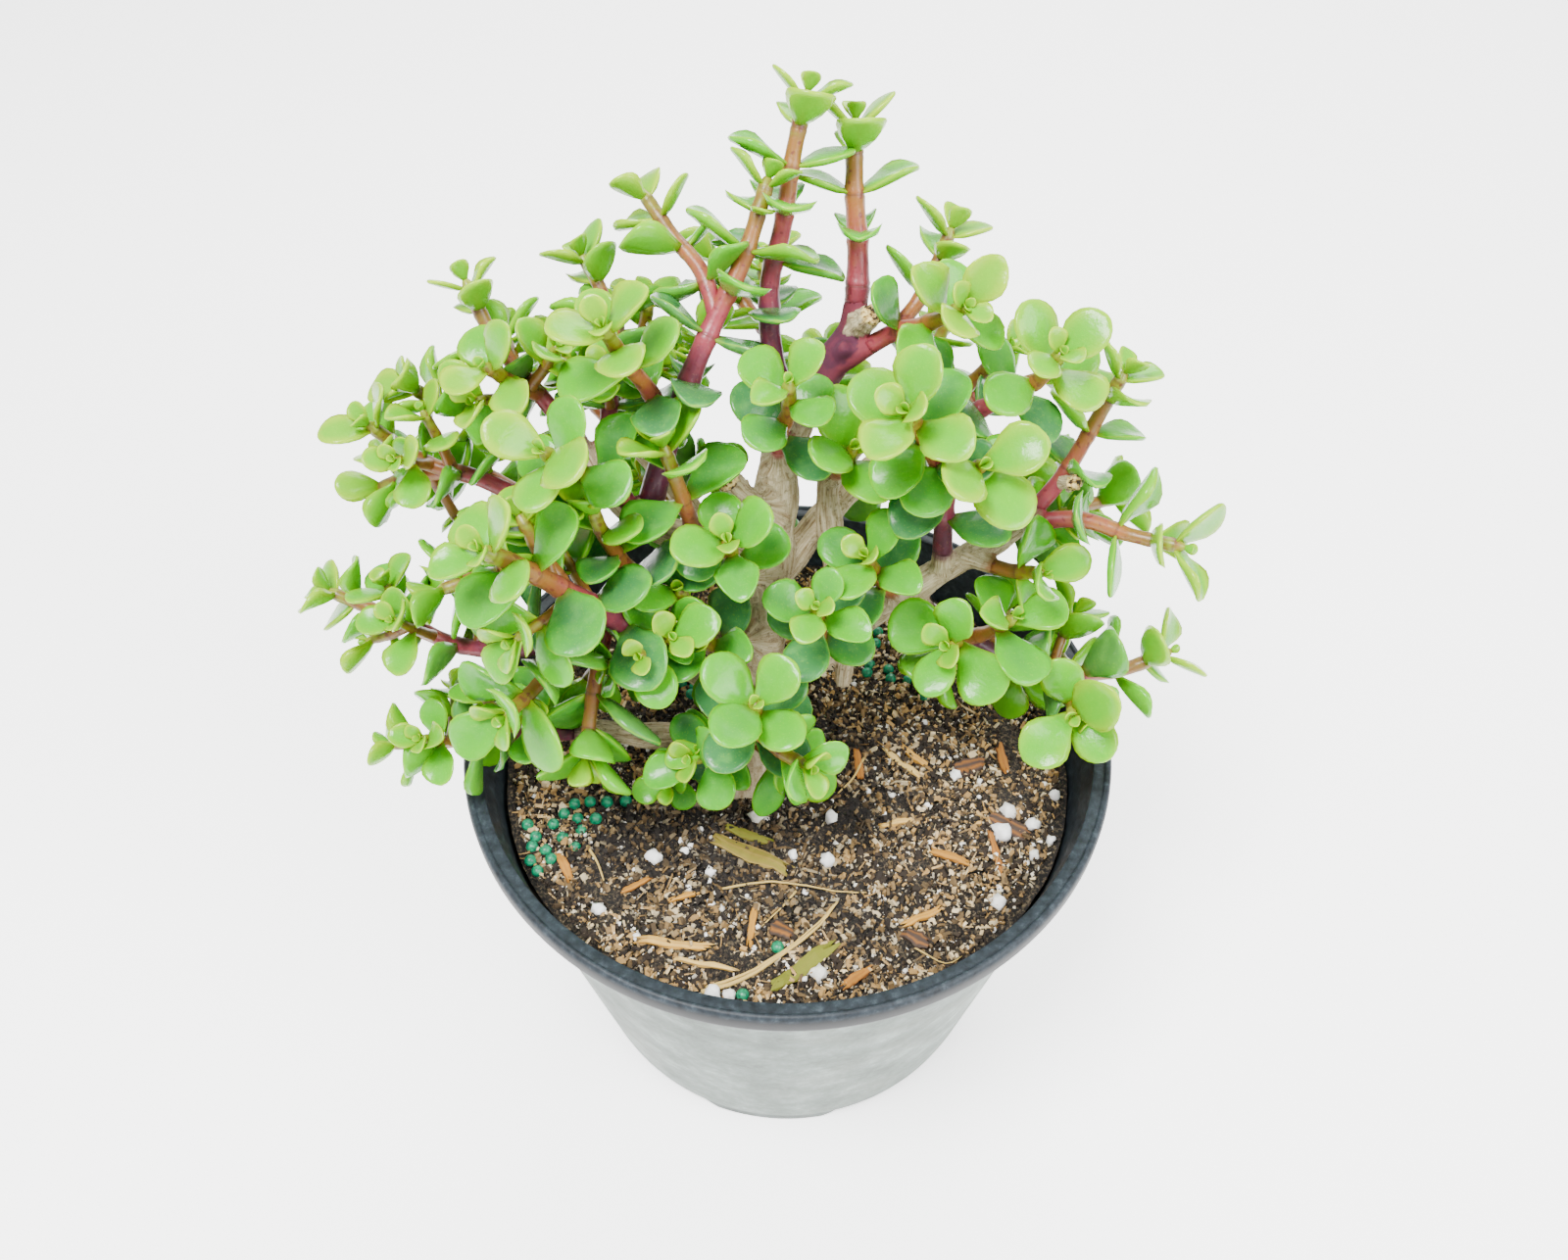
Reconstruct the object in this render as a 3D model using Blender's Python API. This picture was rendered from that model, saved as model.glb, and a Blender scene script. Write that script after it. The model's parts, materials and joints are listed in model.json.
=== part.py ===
"""A dwarf jade bonsai in its round nursery pot, in metres, +Z up.

The origin is the middle of the pot's base, on the table, and the plant's front faces -Y. Every
size below is in millimetres, and mesh_object turns it into metres.

The plant is a woody trunk with limbs, standing in a plain hole in the soil, and leafy shoots that
start on short collars of the wood. A shoot is one node: its stem, its side shoots and its leaves are
joined by one union.
"""
import math
import random

import bpy
import bmesh
from mathutils import Matrix, Vector, noise
from mathutils.bvhtree import BVHTree

for old in list(bpy.data.objects):
    bpy.data.objects.remove(old, do_unlink=True)

MM = 0.001
GAP = 0.3                  # left between pieces that touch

# Pot
RIM_RADIUS = 82.0
POT_HEIGHT = 110.0
LIP_DROP = 6.0             # the lip's outer face, top to bottom
LIP_WIDTH = 4.7            # its flat top
LIP_GROOVE = 0.8           # the fine step near its outer edge
WALL_TOP_RADIUS = 77.5
WALL_FOOT_RADIUS = 58.8
WALL = 1.6
FOOT_HEIGHT = 4.0
FOOT_RADIUS = 58.0
FOOT_WIDTH = 8.0
FOOT_PADS = 4              # the foot is a ring of pads with low stretches between them
PAD_CORNERS = 4            # corners of the turned form that a pad takes
FOOT_NOTCH = 3.2
FLOOR_TOP = 6.0
HUB_RADIUS = 9.0
DRAIN_RADIUS = 4.5
DRAIN_CIRCLE = 34.0
POT_SIDES = 32

# Soil
SOIL_TOP = 94.0
SOIL_DOME = 2.0            # the middle stands this much higher than the edge
SOIL_ROUGHNESS = 1.6
BEAD_RADIUS = 1.65
PERLITE_RADII = (1.3, 2.6)
# Beads and perlite that lie together: kind, middle, how far they spread and how many
LUMP_GROUPS = (
    ("bead", 22, 38, 8, 4), ("bead", 38, 32, 8, 3), ("bead", -48, -17, 8, 4),
    ("bead", -62, -26, 6, 2), ("perlite", 44, -4, 2, 1), ("perlite", 55, -22, 6, 2),
    ("perlite", 8, -64, 2, 1),
)
LUMP_SEED = 41

# Leaves, as shares of a leaf's length
LEAF_WIDTH = 0.78
LEAF_THICK = 0.17
LEAF_MIDDLE = 0.58         # where it is thickest
LEAF_CUP = 0.10            # how far its sides rise above its middle line
LEAF_DROOP = 0.07          # how far its end bends down
# The right half of its outline, root to tip: share of the length, share of half the width
LEAF_OUTLINE = ((0.45, 0.95), (0.84, 0.86))
# Leaves, in millimetres
LEAF_THIN_LIMIT = 1.5      # no leaf is thinner than this in the middle
LEAF_ROOM = 0.45           # kept free all round a leaf
FIRST_SEED = 100           # of the leaves' random draws
# Distances of the leaf pairs from the shoot's tip, in millimetres
PAIR_PLACES = (2.6, 7.5, 15.5, 24.5, 34.5, 45.0)
# Angle between a leaf and its stem, for each pair from the tip
PAIR_ANGLES = (50.0, 64.0, 70.0, 76.0, 82.0, 86.0)
LIGHT_SEEKING = 0.35       # how far a leaf's face turns towards the sky
ANGLE_PLAY = 8.0           # a leaf's turn and lean are this many degrees more or less
SIZE_PLAY = (0.9, 1.08)    # and its length is this share of the planned one
# The first leaf stands this far above a collar, or clear of the stem that a side shoot grows on
FIRST_ON_COLLAR = 3.0
FIRST_ON_STEM = 5.0

# Stems and wood
STEM_STEP = 11.0           # between the rings of a stem's tube
STEM_SIDES = 5
STEM_TIP = 0.6             # the last ring stands this far before the tip
WOOD_STEP = 16.0
TRUNK_SIDES = 8
LIMB_SIDES = 5
BARK_UNEVEN = 0.07
COLLAR_SWELL = 1.12        # a collar of wood is this much thicker than the stem on it
COLLAR_CLEAR = 1.2         # and ends this far from all other wood
SHORTEST_STEM = 8.0        # left of a stem beyond its collar
WOOD_ROOM = 1.08           # leaves keep clear of limbs this much thicker than the real ones

# Each limb of the wood: its name, its radius at both ends and the points of its axis
LIMBS = (
    ("trunk", 9.5, 3.6, ((-13, -8, 71), (-12, -6, 92), (-9, 0, 114), (-7, 6, 136), (-4, 14, 158),
                         (-2, 22, 177), (2, 26, 188), (8, 30, 197), (14, 34, 205))),
    ("right", 5.0, 2.7, ((-9, 0, 114), (2, 1, 129), (15, 3, 143), (26, 5, 151), (36, 8, 157),
                         (46, 9, 164), (53, 9, 171))),
    ("right_upper", 3.6, 2.6, ((15, 3, 143), (12, 11, 152), (10, 18, 162), (10, 22, 174),
                               (18, 22, 186), (27, 20, 192))),
    ("left", 4.8, 2.6, ((-9, 1, 120), (-19, 2, 142), (-31, 0, 156), (-42, -4, 158),
                        (-50, -8, 153))),
    ("left_far", 3.2, 2.3, ((-31, 0, 156), (-44, 6, 166), (-58, 10, 177))),
    ("left_upper", 4.4, 2.5, ((-5, 10, 148), (-18, 10, 163), (-32, 8, 172), (-42, 12, 182),
                              (-47, 17, 190))),
    ("left_low", 4.2, 2.5, ((-10, -2, 108), (-21, -8, 115), (-34, -13, 121), (-46, -16, 127))),
    ("front", 3.9, 3.3, ((-9, 0, 114), (-15, -4, 126), (-22, -6, 138))),
    ("back", 4.6, 2.6, ((-7, 6, 134), (-6, 22, 147), (-4, 40, 158), (-3, 52, 168))),
    ("back_left", 4.0, 2.5, ((-6, 8, 141), (-20, 24, 155), (-33, 37, 165))),
    ("back_right", 4.2, 2.5, ((-5, 11, 149), (12, 28, 160), (27, 42, 166), (40, 50, 172))),
    ("broken_stub", 2.7, 2.2, ((15, 3, 143), (14, 0, 135), (13.5, -1.5, 127))),
    ("dried_stub", 1.9, 1.7, ((9, 31, 198), (13, 28, 206))),
)

# Each stem: its node, its radius at the root and the tip, the length of its tip leaves and of its
# grown leaves, the turn of its first pair in degrees, and the points of its axis from the limb it
# grows on to its tip. A stem that repeats a node's name is a side shoot, joined to that node.
STEMS = (
    ("shoot_top_left", 2.7, 1.5, 9.5, 14.5, 8, ((2, 26, 188), (-3, 28, 201), (-4, 33, 217),
                                              (-1, 38, 230), (1, 44, 242), (4, 50, 253))),
    ("shoot_top_right", 2.8, 1.6, 10, 14.5, 4, ((14, 34, 205), (15, 37, 213), (15, 42, 222),
                                             (14, 47, 233), (14, 54, 245))),
    ("shoot_tall", 3.1, 1.5, 10.5, 15, 10, ((-32, 8, 172), (-29, 8, 184), (-25, 12, 196),
                                             (-20, 17, 208), (-15, 23, 217), (-9, 30, 227),
                                             (-4, 39, 240))),
    ("shoot_tall", 1.9, 1.3, 10, 13.5, 55, ((-15, 23, 217), (-18, 30, 223), (-24, 37, 227),
                                         (-31, 44, 234))),
    ("shoot_tall", 2.0, 1.4, 12, 14.5, 20, ((-25, 12, 196), (-29, 11, 207), (-33, 8, 217),
                                          (-36, 4, 228))),
    ("shoot_left_upper", 2.0, 1.3, 10, 13.5, 30, ((-42, 12, 182), (-39, 22, 196), (-38, 31, 207),
                                               (-41, 38, 214), (-45, 42, 220))),
    ("shoot_left_high", 2.1, 1.3, 9.5, 14, 15, ((-47, 17, 190), (-54, 20, 199),
                                                  (-60, 24, 205), (-65, 29, 211),
                                                  (-69, 34, 219))),
    ("shoot_left_high", 1.8, 1.3, 11, 12.5, 40, ((-54, 20, 199), (-58, 15, 206), (-62, 9, 215))),
    ("shoot_rosette_left", 2.2, 1.5, 14.5, 14.5, -25, ((-32, 8, 172), (-37, 3, 186),
                                                   (-43, -5, 199), (-48, -13, 211))),
    ("shoot_left_far", 2.0, 1.4, 11, 13.5, 20, ((-58, 10, 177), (-69, 12, 182), (-79, 14, 184),
                                              (-86, 15, 189), (-91, 14, 196))),
    ("shoot_left_far", 1.8, 1.3, 11, 13.5, 70, ((-75, 13, 183), (-86, 17, 178), (-95, 18, 173))),
    ("shoot_left_middle", 2.1, 1.4, 11, 14.5, 60, ((-42, 12, 182), (-56, 14, 190),
                                                 (-66, 17, 194), (-76, 20, 197),
                                                 (-82, 20, 201))),
    ("shoot_left_low", 2.4, 1.4, 10.5, 14, 10, ((-50, -8, 153), (-62, -8, 147),
                                                 (-78, -3, 143), (-90, 2, 145), (-99, 5, 147),
                                                 (-109, 7, 151))),
    ("shoot_front_left", 3.3, 1.7, 13, 17.5, 35, ((-22, -6, 138), (-29, -9, 150),
                                                  (-39, -13, 164), (-47, -17, 176),
                                                  (-54, -22, 188), (-60, -26, 197))),
    ("shoot_front_left", 2.0, 1.3, 10, 13.5, 30, ((-29, -9, 150), (-31, -17, 156),
                                               (-32, -24, 163))),
    ("shoot_front_left", 2.0, 1.3, 13, 15.5, 10, ((-47, -17, 176), (-52, -13, 184),
                                                (-56, -9, 191))),
    ("shoot_left_drooping", 2.1, 1.4, 15.5, 17.5, 50, ((-42, -4, 158), (-50, -14, 153),
                                                     (-57, -23, 150), (-62, -31, 151))),
    ("shoot_left_hanging", 1.9, 1.4, 14.5, 18.5, 15, ((-40, -4, 158), (-43, -15, 150),
                                                    (-45, -23, 141), (-46, -30, 134))),
    ("shoot_rim_left", 2.0, 1.3, 9, 13.5, 25, ((-46, -16, 127), (-60, -19, 129), (-74, -18, 126),
                                             (-86, -16, 122), (-97, -15, 120))),
    ("shoot_small_low", 1.6, 1.2, 9, 9, 20, ((-23, -9, 112), (-26, -17, 113), (-29, -26, 119))),
    ("shoot_rosette_middle", 2.2, 1.5, 13, 14.5, 20, ((-5, 11, 150), (-10, 3, 160),
                                                    (-12, -3, 171), (-13, -9, 183))),
    ("shoot_front_upper", 2.0, 1.4, 10.5, 14, 65, ((5, 1, 133), (7, -5, 147), (7, -11, 159),
                                                    (6, -17, 171))),
    ("shoot_front", 2.6, 1.5, 14, 16, 45, ((-10, -2, 106), (-9, -14, 121), (-8, -24, 139),
                                               (-7, -33, 158))),
    ("shoot_rosette_top", 2.1, 1.4, 11.5, 13.5, 50, ((-2, 22, 177), (-2, 15, 191), (0, 9, 203),
                                                   (0, 5, 214))),
    ("shoot_middle_right", 2.0, 1.4, 14.5, 16, 25, ((10, 22, 174), (12, 13, 184),
                                                    (14, 7, 195))),
    ("shoot_middle_left", 2.0, 1.4, 13, 16, 70, ((-7, 6, 136), (-15, -6, 146),
                                                   (-20, -13, 156))),
    ("shoot_right_front", 2.4, 1.5, 14.5, 15.5, 60, ((36, 8, 157), (35, 7, 172), (34, 5, 187),
                                                 (28, 0, 203), (23, -7, 216))),
    ("shoot_right_front", 2.0, 1.4, 14.5, 15.5, 30, ((34, 5, 187), (37, -1, 195), (39, -9, 204))),
    ("shoot_crown_right", 2.3, 1.5, 13, 14, 55, ((7, 30, 196), (15, 29, 203), (22, 28, 209),
                                                   (29, 22, 216), (35, 12, 227))),
    ("shoot_crown_right", 1.8, 1.3, 10.5, 12.5, 15, ((22, 28, 209), (28, 34, 213), (32, 39, 219),
                                                  (35, 43, 226))),
    ("shoot_right_upper", 2.2, 1.4, 12, 14.5, 35, ((27, 20, 192), (38, 21, 192), (47, 19, 199),
                                                 (52, 12, 209), (54, 5, 221))),
    ("shoot_right_high", 2.1, 1.4, 10.5, 14, 15, ((53, 9, 171), (61, 13, 181), (66, 17, 190),
                                                   (70, 21, 197), (73, 23, 203))),
    ("shoot_right_far", 2.1, 1.4, 12.5, 15, 45, ((53, 9, 171), (65, 6, 175), (76, 2, 174),
                                                   (87, -3, 175))),
    ("shoot_right_low", 2.8, 1.5, 11.5, 15.5, 20, ((28, 5, 151), (42, -1, 143), (61, -4, 134),
                                                 (81, 1, 129), (94, 4, 133))),
    ("shoot_right_low", 2.2, 1.4, 15, 15.5, 40, ((61, -4, 134), (67, -12, 134),
                                                 (65, -22, 140))),
    ("shoot_right_low", 1.9, 1.3, 13, 19, 10, ((42, -1, 143), (47, -5, 150), (51, -9, 159))),
    ("shoot_inner_left", 2.1, 1.4, 13, 15.5, 35, ((-18, 10, 163), (-21, 3, 176), (-23, 0, 189),
                                                (-26, 1, 201))),
    ("shoot_inner_front_left", 2.0, 1.4, 13, 15.5, 60, ((-31, 0, 156), (-35, -4, 169),
                                                      (-39, -7, 182), (-41, -7, 191))),
    ("shoot_inner_front", 2.0, 1.4, 13, 15.5, 15, ((-19, 2, 142), (-22, -4, 155),
                                                 (-24, -9, 168))),
    ("shoot_inner_right", 2.0, 1.4, 13, 15.5, 50, ((26, 5, 151), (21, -1, 163), (17, -5, 174))),
    ("shoot_right_middle", 2.0, 1.4, 13, 15, 20, ((42, 8, 161), (50, 2, 163), (57, -4, 168))),
    ("shoot_left_side", 2.0, 1.4, 13, 15.5, 20, ((-44, 6, 166), (-58, 3, 166), (-70, 0, 163),
                                               (-80, -2, 160))),
    ("shoot_front", 1.9, 1.4, 12.5, 14, 30, ((-9, -14, 121), (-16, -22, 126), (-22, -29, 133))),
    ("shoot_front", 1.9, 1.4, 12.5, 14, 0, ((-8, -24, 139), (-2, -31, 139), (4, -37, 141))),
    ("shoot_back_middle", 2.3, 1.5, 11, 14.5, 20, ((-3, 52, 168), (-4, 60, 185), (-6, 66, 203))),
    ("shoot_back_middle", 1.9, 1.4, 12, 13.5, 60, ((-4, 60, 185), (-12, 70, 190),
                                                 (-19, 80, 196))),
    ("shoot_back_low", 2.2, 1.4, 12, 15.5, 30, ((-3, 52, 168), (6, 68, 164), (12, 84, 160))),
    ("shoot_back_left", 2.2, 1.4, 11, 14.5, 40, ((-33, 37, 165), (-46, 48, 172),
                                               (-57, 57, 182))),
    ("shoot_back_left_low", 2.1, 1.4, 13, 15.5, 10, ((-20, 24, 155), (-30, 44, 150),
                                                   (-38, 62, 145))),
    ("shoot_back_left_high", 2.2, 1.4, 11, 14, 50, ((-33, 37, 165), (-35, 44, 184),
                                                      (-32, 50, 203))),
    ("shoot_back_right", 2.2, 1.4, 11, 14.5, 15, ((27, 42, 166), (33, 53, 178), (39, 60, 192))),
    ("shoot_back_right_far", 2.2, 1.4, 12, 14.5, 60, ((40, 50, 172), (54, 53, 175),
                                                    (69, 53, 181))),
    ("shoot_back_right_low", 2.1, 1.4, 13, 15.5, 35, ((12, 28, 160), (24, 48, 153),
                                                    (34, 66, 147))),
    ("shoot_back_right_high", 2.2, 1.4, 11, 14, 25, ((27, 42, 166), (39, 38, 184),
                                                       (50, 36, 200))),
    ("shoot_side_left", 2.0, 1.4, 12, 14.5, 45, ((-50, 8, 170), (-66, 24, 169), (-82, 36, 167))),
    ("shoot_side_right", 2.0, 1.4, 12, 14.5, 10, ((46, 9, 164), (64, 24, 160), (82, 34, 156))),
    ("shoot_low_back", 2.1, 1.4, 12, 15.5, 65, ((-6, 16, 142), (-10, 40, 133), (-14, 62, 126))),
)


def smooth_path(points, step):
    """Points about step apart on a smooth curve through the given points."""
    knots = [Vector(point) for point in points]
    knots = [2 * knots[0] - knots[1]] + knots + [2 * knots[-1] - knots[-2]]
    path = []
    for before, start, end, after in zip(knots, knots[1:], knots[2:], knots[3:]):
        count = max(1, round((end - start).length / step))
        for index in range(count):
            t = index / count
            path.append(0.5 * (2 * start + (end - before) * t
                               + (2 * before - 5 * start + 4 * end - after) * t * t
                               + (3 * start - before - 3 * end + after) * t ** 3))
    path.append(knots[-2])
    return path


class Axis:
    """A stem's axis as a fine path that can be read at any distance from its start."""

    def __init__(self, points, root_radius, tip_radius):
        self.path = smooth_path(points, 1.0)
        self.places = [0.0]
        for a, b in zip(self.path, self.path[1:]):
            self.places.append(self.places[-1] + (b - a).length)
        self.length = self.places[-1]
        self.root_radius = root_radius
        self.tip_radius = tip_radius

    def at(self, place):
        """The point and the direction at this distance."""
        place = min(max(place, 0.0), self.length)
        index = 1
        while index < len(self.places) - 1 and self.places[index] < place:
            index += 1
        a, b = self.path[index - 1], self.path[index]
        share = (place - self.places[index - 1]) / (self.places[index] - self.places[index - 1])
        return a.lerp(b, share), (b - a).normalized()

    def radius(self, place):
        share = min(max(place / self.length, 0.0), 1.0)
        return self.root_radius + (self.tip_radius - self.root_radius) * share


def square_to(direction, guide):
    """The guide's part square to the direction, one unit long."""
    side = guide - direction * guide.dot(direction)
    return side.normalized()


def first_side(direction):
    """A side direction that shoots share: the object's right, or its back on sideways shoots."""
    if abs(direction.x) < 0.8:
        return square_to(direction, Vector((1, 0, 0)))
    return square_to(direction, Vector((0, 1, 0)))


def tube(axis, places, radii, sides, pointed=False):
    """A closed tube with flat ends, or with a pointed tip."""
    corners = []
    faces = []
    side = None
    for place, radius in zip(places, radii):
        point, direction = axis.at(place)
        side = square_to(direction, side) if side else first_side(direction)
        other = direction.cross(side)
        for index in range(sides):
            turn = math.tau * index / sides
            corners.append(point + radius * (math.cos(turn) * side + math.sin(turn) * other))
    for ring in range(len(places) - 1):
        for index in range(sides):
            a = ring * sides + index
            b = ring * sides + (index + 1) % sides
            faces.append((a, b, b + sides, a + sides))
    faces.append(tuple(range(sides - 1, -1, -1)))
    last = (len(places) - 1) * sides
    if pointed:
        point, direction = axis.at(places[-1])
        corners.append(point + direction * radii[-1])
        for index in range(sides):
            faces.append((last + index, last + (index + 1) % sides, len(corners) - 1))
    else:
        faces.append(tuple(range(last, last + sides)))
    return corners, faces


def leaf(root, along, face, length, sink, spread=0.0):
    """A fleshy leaf shaped like an upturned egg, on its root point.

    along is its direction and face is the way that its upper side looks. It starts sink under the
    stem's skin. spread grows it all round, for the test of what it would touch.
    """
    width = LEAF_WIDTH * length / 2
    thick = max(LEAF_THICK * length, LEAF_THIN_LIMIT) / 2
    across = face.cross(along)

    def place(share, side, height):
        cup = length * (LEAF_CUP * (side / width) ** 2 - LEAF_DROOP * share * share)
        return root + along * (sink + share * length) + across * side + face * (height + cup)

    right = [(share, half * width) for share, half in LEAF_OUTLINE]
    left = [(share, -side) for share, side in right[::-1]]
    root_share = 0.14 if spread else -sink / length
    rim = [(root_share, 0.0)] + right + [(1.0, 0.0)] + left
    corners = []
    for share, side in rim:
        wider = math.copysign(spread, side) if side else 0.0
        corners.append(place(share + (spread / length if share == 1.0 else 0.0), side + wider, 0.0))
    corners.append(place(LEAF_MIDDLE, 0.0, thick + spread))
    corners.append(place(LEAF_MIDDLE, 0.0, -thick - spread))
    top, bottom = len(rim), len(rim) + 1
    faces = []
    for index in range(len(rim)):
        following = (index + 1) % len(rim)
        faces.append((index, following, top))
        faces.append((following, index, bottom))
    return corners, faces


def mesh_object(name, corners, faces):
    """An object from corners in millimetres, with its faces turned outwards."""
    mesh = bpy.data.meshes.new(name)
    mesh.from_pydata([corner * MM for corner in corners], [], faces)
    form = bmesh.new()
    form.from_mesh(mesh)
    bmesh.ops.recalc_face_normals(form, faces=form.faces)
    form.to_mesh(mesh)
    form.free()
    item = bpy.data.objects.new(name, mesh)
    bpy.context.collection.objects.link(item)
    return item


def union(base, others):
    """Joins the others to the base by one exact union, and removes them."""
    group = bpy.data.collections.new(base.name + "_pieces")
    bpy.context.scene.collection.children.link(group)
    for other in others:
        bpy.context.collection.objects.unlink(other)
        group.objects.link(other)
    modifier = base.modifiers.new("union", "BOOLEAN")
    modifier.operation = "UNION"
    modifier.operand_type = "COLLECTION"
    modifier.collection = group
    apply_modifiers(base)
    for other in others:
        bpy.data.objects.remove(other, do_unlink=True)
    bpy.data.collections.remove(group)


def apply_modifiers(item):
    """Replaces the object's mesh by its evaluated mesh."""
    depsgraph = bpy.context.evaluated_depsgraph_get()
    mesh = bpy.data.meshes.new_from_object(item.evaluated_get(depsgraph))
    item.modifiers.clear()
    item.data = mesh


def material(name, colour, roughness):
    """A plain material from its colour as linear red, green and blue."""
    result = bpy.data.materials.new(name)
    result.use_nodes = True
    shader = result.node_tree.nodes["Principled BSDF"]
    shader.inputs["Base Color"].default_value = (*colour, 1.0)
    shader.inputs["Roughness"].default_value = roughness
    shader.inputs["Metallic"].default_value = 0.0
    return result


def give_material(item, surface):
    """Gives the whole item one material and smooth shading between its sharp edges."""
    item.data.materials.clear()
    item.data.materials.append(surface)
    for face in item.data.polygons:
        face.material_index = 0
    item.data.shade_smooth()
    item.data.set_sharp_from_angle(angle=math.radians(40))


def turned(name, profile, sides):
    """A solid turned about the pot's axis from (radius, height) points, bottom to top outside."""
    corners = []
    faces = []
    rows = []
    for radius, height in profile:
        if radius == 0:
            rows.append([len(corners)])
            corners.append(Vector((0, 0, height)))
            continue
        rows.append(list(range(len(corners), len(corners) + sides)))
        for index in range(sides):
            turn = math.tau * index / sides
            corners.append(Vector((radius * math.cos(turn), radius * math.sin(turn), height)))
    for low, high in zip(rows, rows[1:]):
        for index in range(sides):
            following = (index + 1) % sides
            if len(low) == 1:
                faces.append((low[0], high[following], high[index]))
            elif len(high) == 1:
                faces.append((low[index], low[following], high[0]))
            else:
                faces.append((low[index], low[following], high[following], high[index]))
    return mesh_object(name, corners, faces)


def cylinder(name, centre, radius, height, sides):
    """An upright cylinder on its centre point."""
    form = bmesh.new()
    bmesh.ops.create_cone(form, cap_ends=True, segments=sides, radius1=radius * MM,
                          radius2=radius * MM, depth=height * MM,
                          matrix=Matrix.Translation(Vector(centre) * MM))
    mesh = bpy.data.meshes.new(name)
    form.to_mesh(mesh)
    form.free()
    item = bpy.data.objects.new(name, mesh)
    bpy.context.collection.objects.link(item)
    return item


def cut(item, cutters):
    """Cuts the cutters out of the item and removes them."""
    for cutter in cutters:
        modifier = item.modifiers.new("cut", "BOOLEAN")
        modifier.operation = "DIFFERENCE"
        modifier.object = cutter
    apply_modifiers(item)
    for cutter in cutters:
        bpy.data.objects.remove(cutter, do_unlink=True)


def wall_radius(height):
    """The pot's outer wall at this height."""
    share = (height - FOOT_HEIGHT) / (POT_HEIGHT - LIP_DROP - FOOT_HEIGHT)
    return WALL_FOOT_RADIUS + (WALL_TOP_RADIUS - WALL_FOOT_RADIUS) * share


def build_pot():
    """The pot: hub and foot ring, leaning wall and flat lip, with drain holes in its floor."""
    lip_bottom = POT_HEIGHT - LIP_DROP
    plate = FLOOR_TOP - WALL * 2
    inner_rim = RIM_RADIUS - LIP_WIDTH
    groove = RIM_RADIUS - 1.8
    profile = [
        (0, 0), (HUB_RADIUS, 0), (HUB_RADIUS + 0.5, plate),
        (FOOT_RADIUS - FOOT_WIDTH, plate), (FOOT_RADIUS - FOOT_WIDTH + 0.3, 0),
        (FOOT_RADIUS, 0), (FOOT_RADIUS + 0.3, FOOT_HEIGHT - 0.4),
        (WALL_FOOT_RADIUS, FOOT_HEIGHT + 0.4), (WALL_TOP_RADIUS, lip_bottom),
        (RIM_RADIUS - 0.4, lip_bottom - 0.1), (RIM_RADIUS, POT_HEIGHT - 0.7),
        (RIM_RADIUS - 0.6, POT_HEIGHT), (groove, POT_HEIGHT),
        (groove - LIP_GROOVE / 2, POT_HEIGHT - 0.5), (inner_rim, POT_HEIGHT - 0.5),
        (inner_rim - 0.9, lip_bottom), (wall_radius(FLOOR_TOP) - WALL, FLOOR_TOP), (0, FLOOR_TOP),
    ]
    pot = turned("pot", profile, POT_SIDES)
    first = -math.pi / 2 - math.radians(5)
    pad_step = POT_SIDES // FOOT_PADS
    for corner in pot.data.vertices:
        radius = math.hypot(corner.co.x, corner.co.y) / MM
        if corner.co.z < 0.1 * MM and radius > HUB_RADIUS + 1:
            turn = math.atan2(corner.co.y, corner.co.x) - first
            index = round(turn * POT_SIDES / math.tau + PAD_CORNERS / 2 - 0.5) % pad_step
            if index >= PAD_CORNERS:
                corner.co.z = FOOT_NOTCH * MM
    cutters = []
    for index in range(FOOT_PADS):
        turn = math.tau * (index + 0.5) / FOOT_PADS
        centre = (DRAIN_CIRCLE * math.cos(turn), DRAIN_CIRCLE * math.sin(turn), FLOOR_TOP / 2)
        cutters.append(cylinder("drain", centre, DRAIN_RADIUS, FLOOR_TOP * 2, 10))
    cut(pot, cutters)
    give_material(pot, material("pot_plastic", (0.32, 0.34, 0.33), 0.45))


def soil_height(x, y):
    """The soil's rough, slightly domed surface."""
    radius = math.hypot(x, y)
    dome = SOIL_DOME * (1 - (radius / WALL_TOP_RADIUS) ** 2)
    rough = noise.noise(Vector((x / 13, y / 13, 4.0))) + 0.6 * noise.noise(Vector((x / 5, y / 5, 9)))
    return SOIL_TOP - SOIL_DOME / 2 + dome + SOIL_ROUGHNESS * rough


def soil_lumps():
    """Beads and perlite as (kind, x, y, radius): the groups that lie together, then the strays."""
    rng = random.Random(LUMP_SEED)
    lumps = []
    for kind, x, y, spread, count in LUMP_GROUPS:
        for _ in range(count):
            turn = rng.uniform(0, math.tau)
            reach = spread * math.sqrt(rng.random())
            radius = BEAD_RADIUS if kind == "bead" else rng.uniform(*PERLITE_RADII)
            lumps.append((kind, x + reach * math.cos(turn), y + reach * math.sin(turn), radius))
    inside = wall_radius(SOIL_TOP) - WALL - 3.5
    kept = []
    for kind, x, y, radius in lumps:
        clear = all(math.hypot(x - a, y - b) > radius + c + 0.5 for _, a, b, c in kept)
        if clear and math.hypot(x, y) + radius < inside:
            kept.append((kind, x, y, radius))
    return kept


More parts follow.
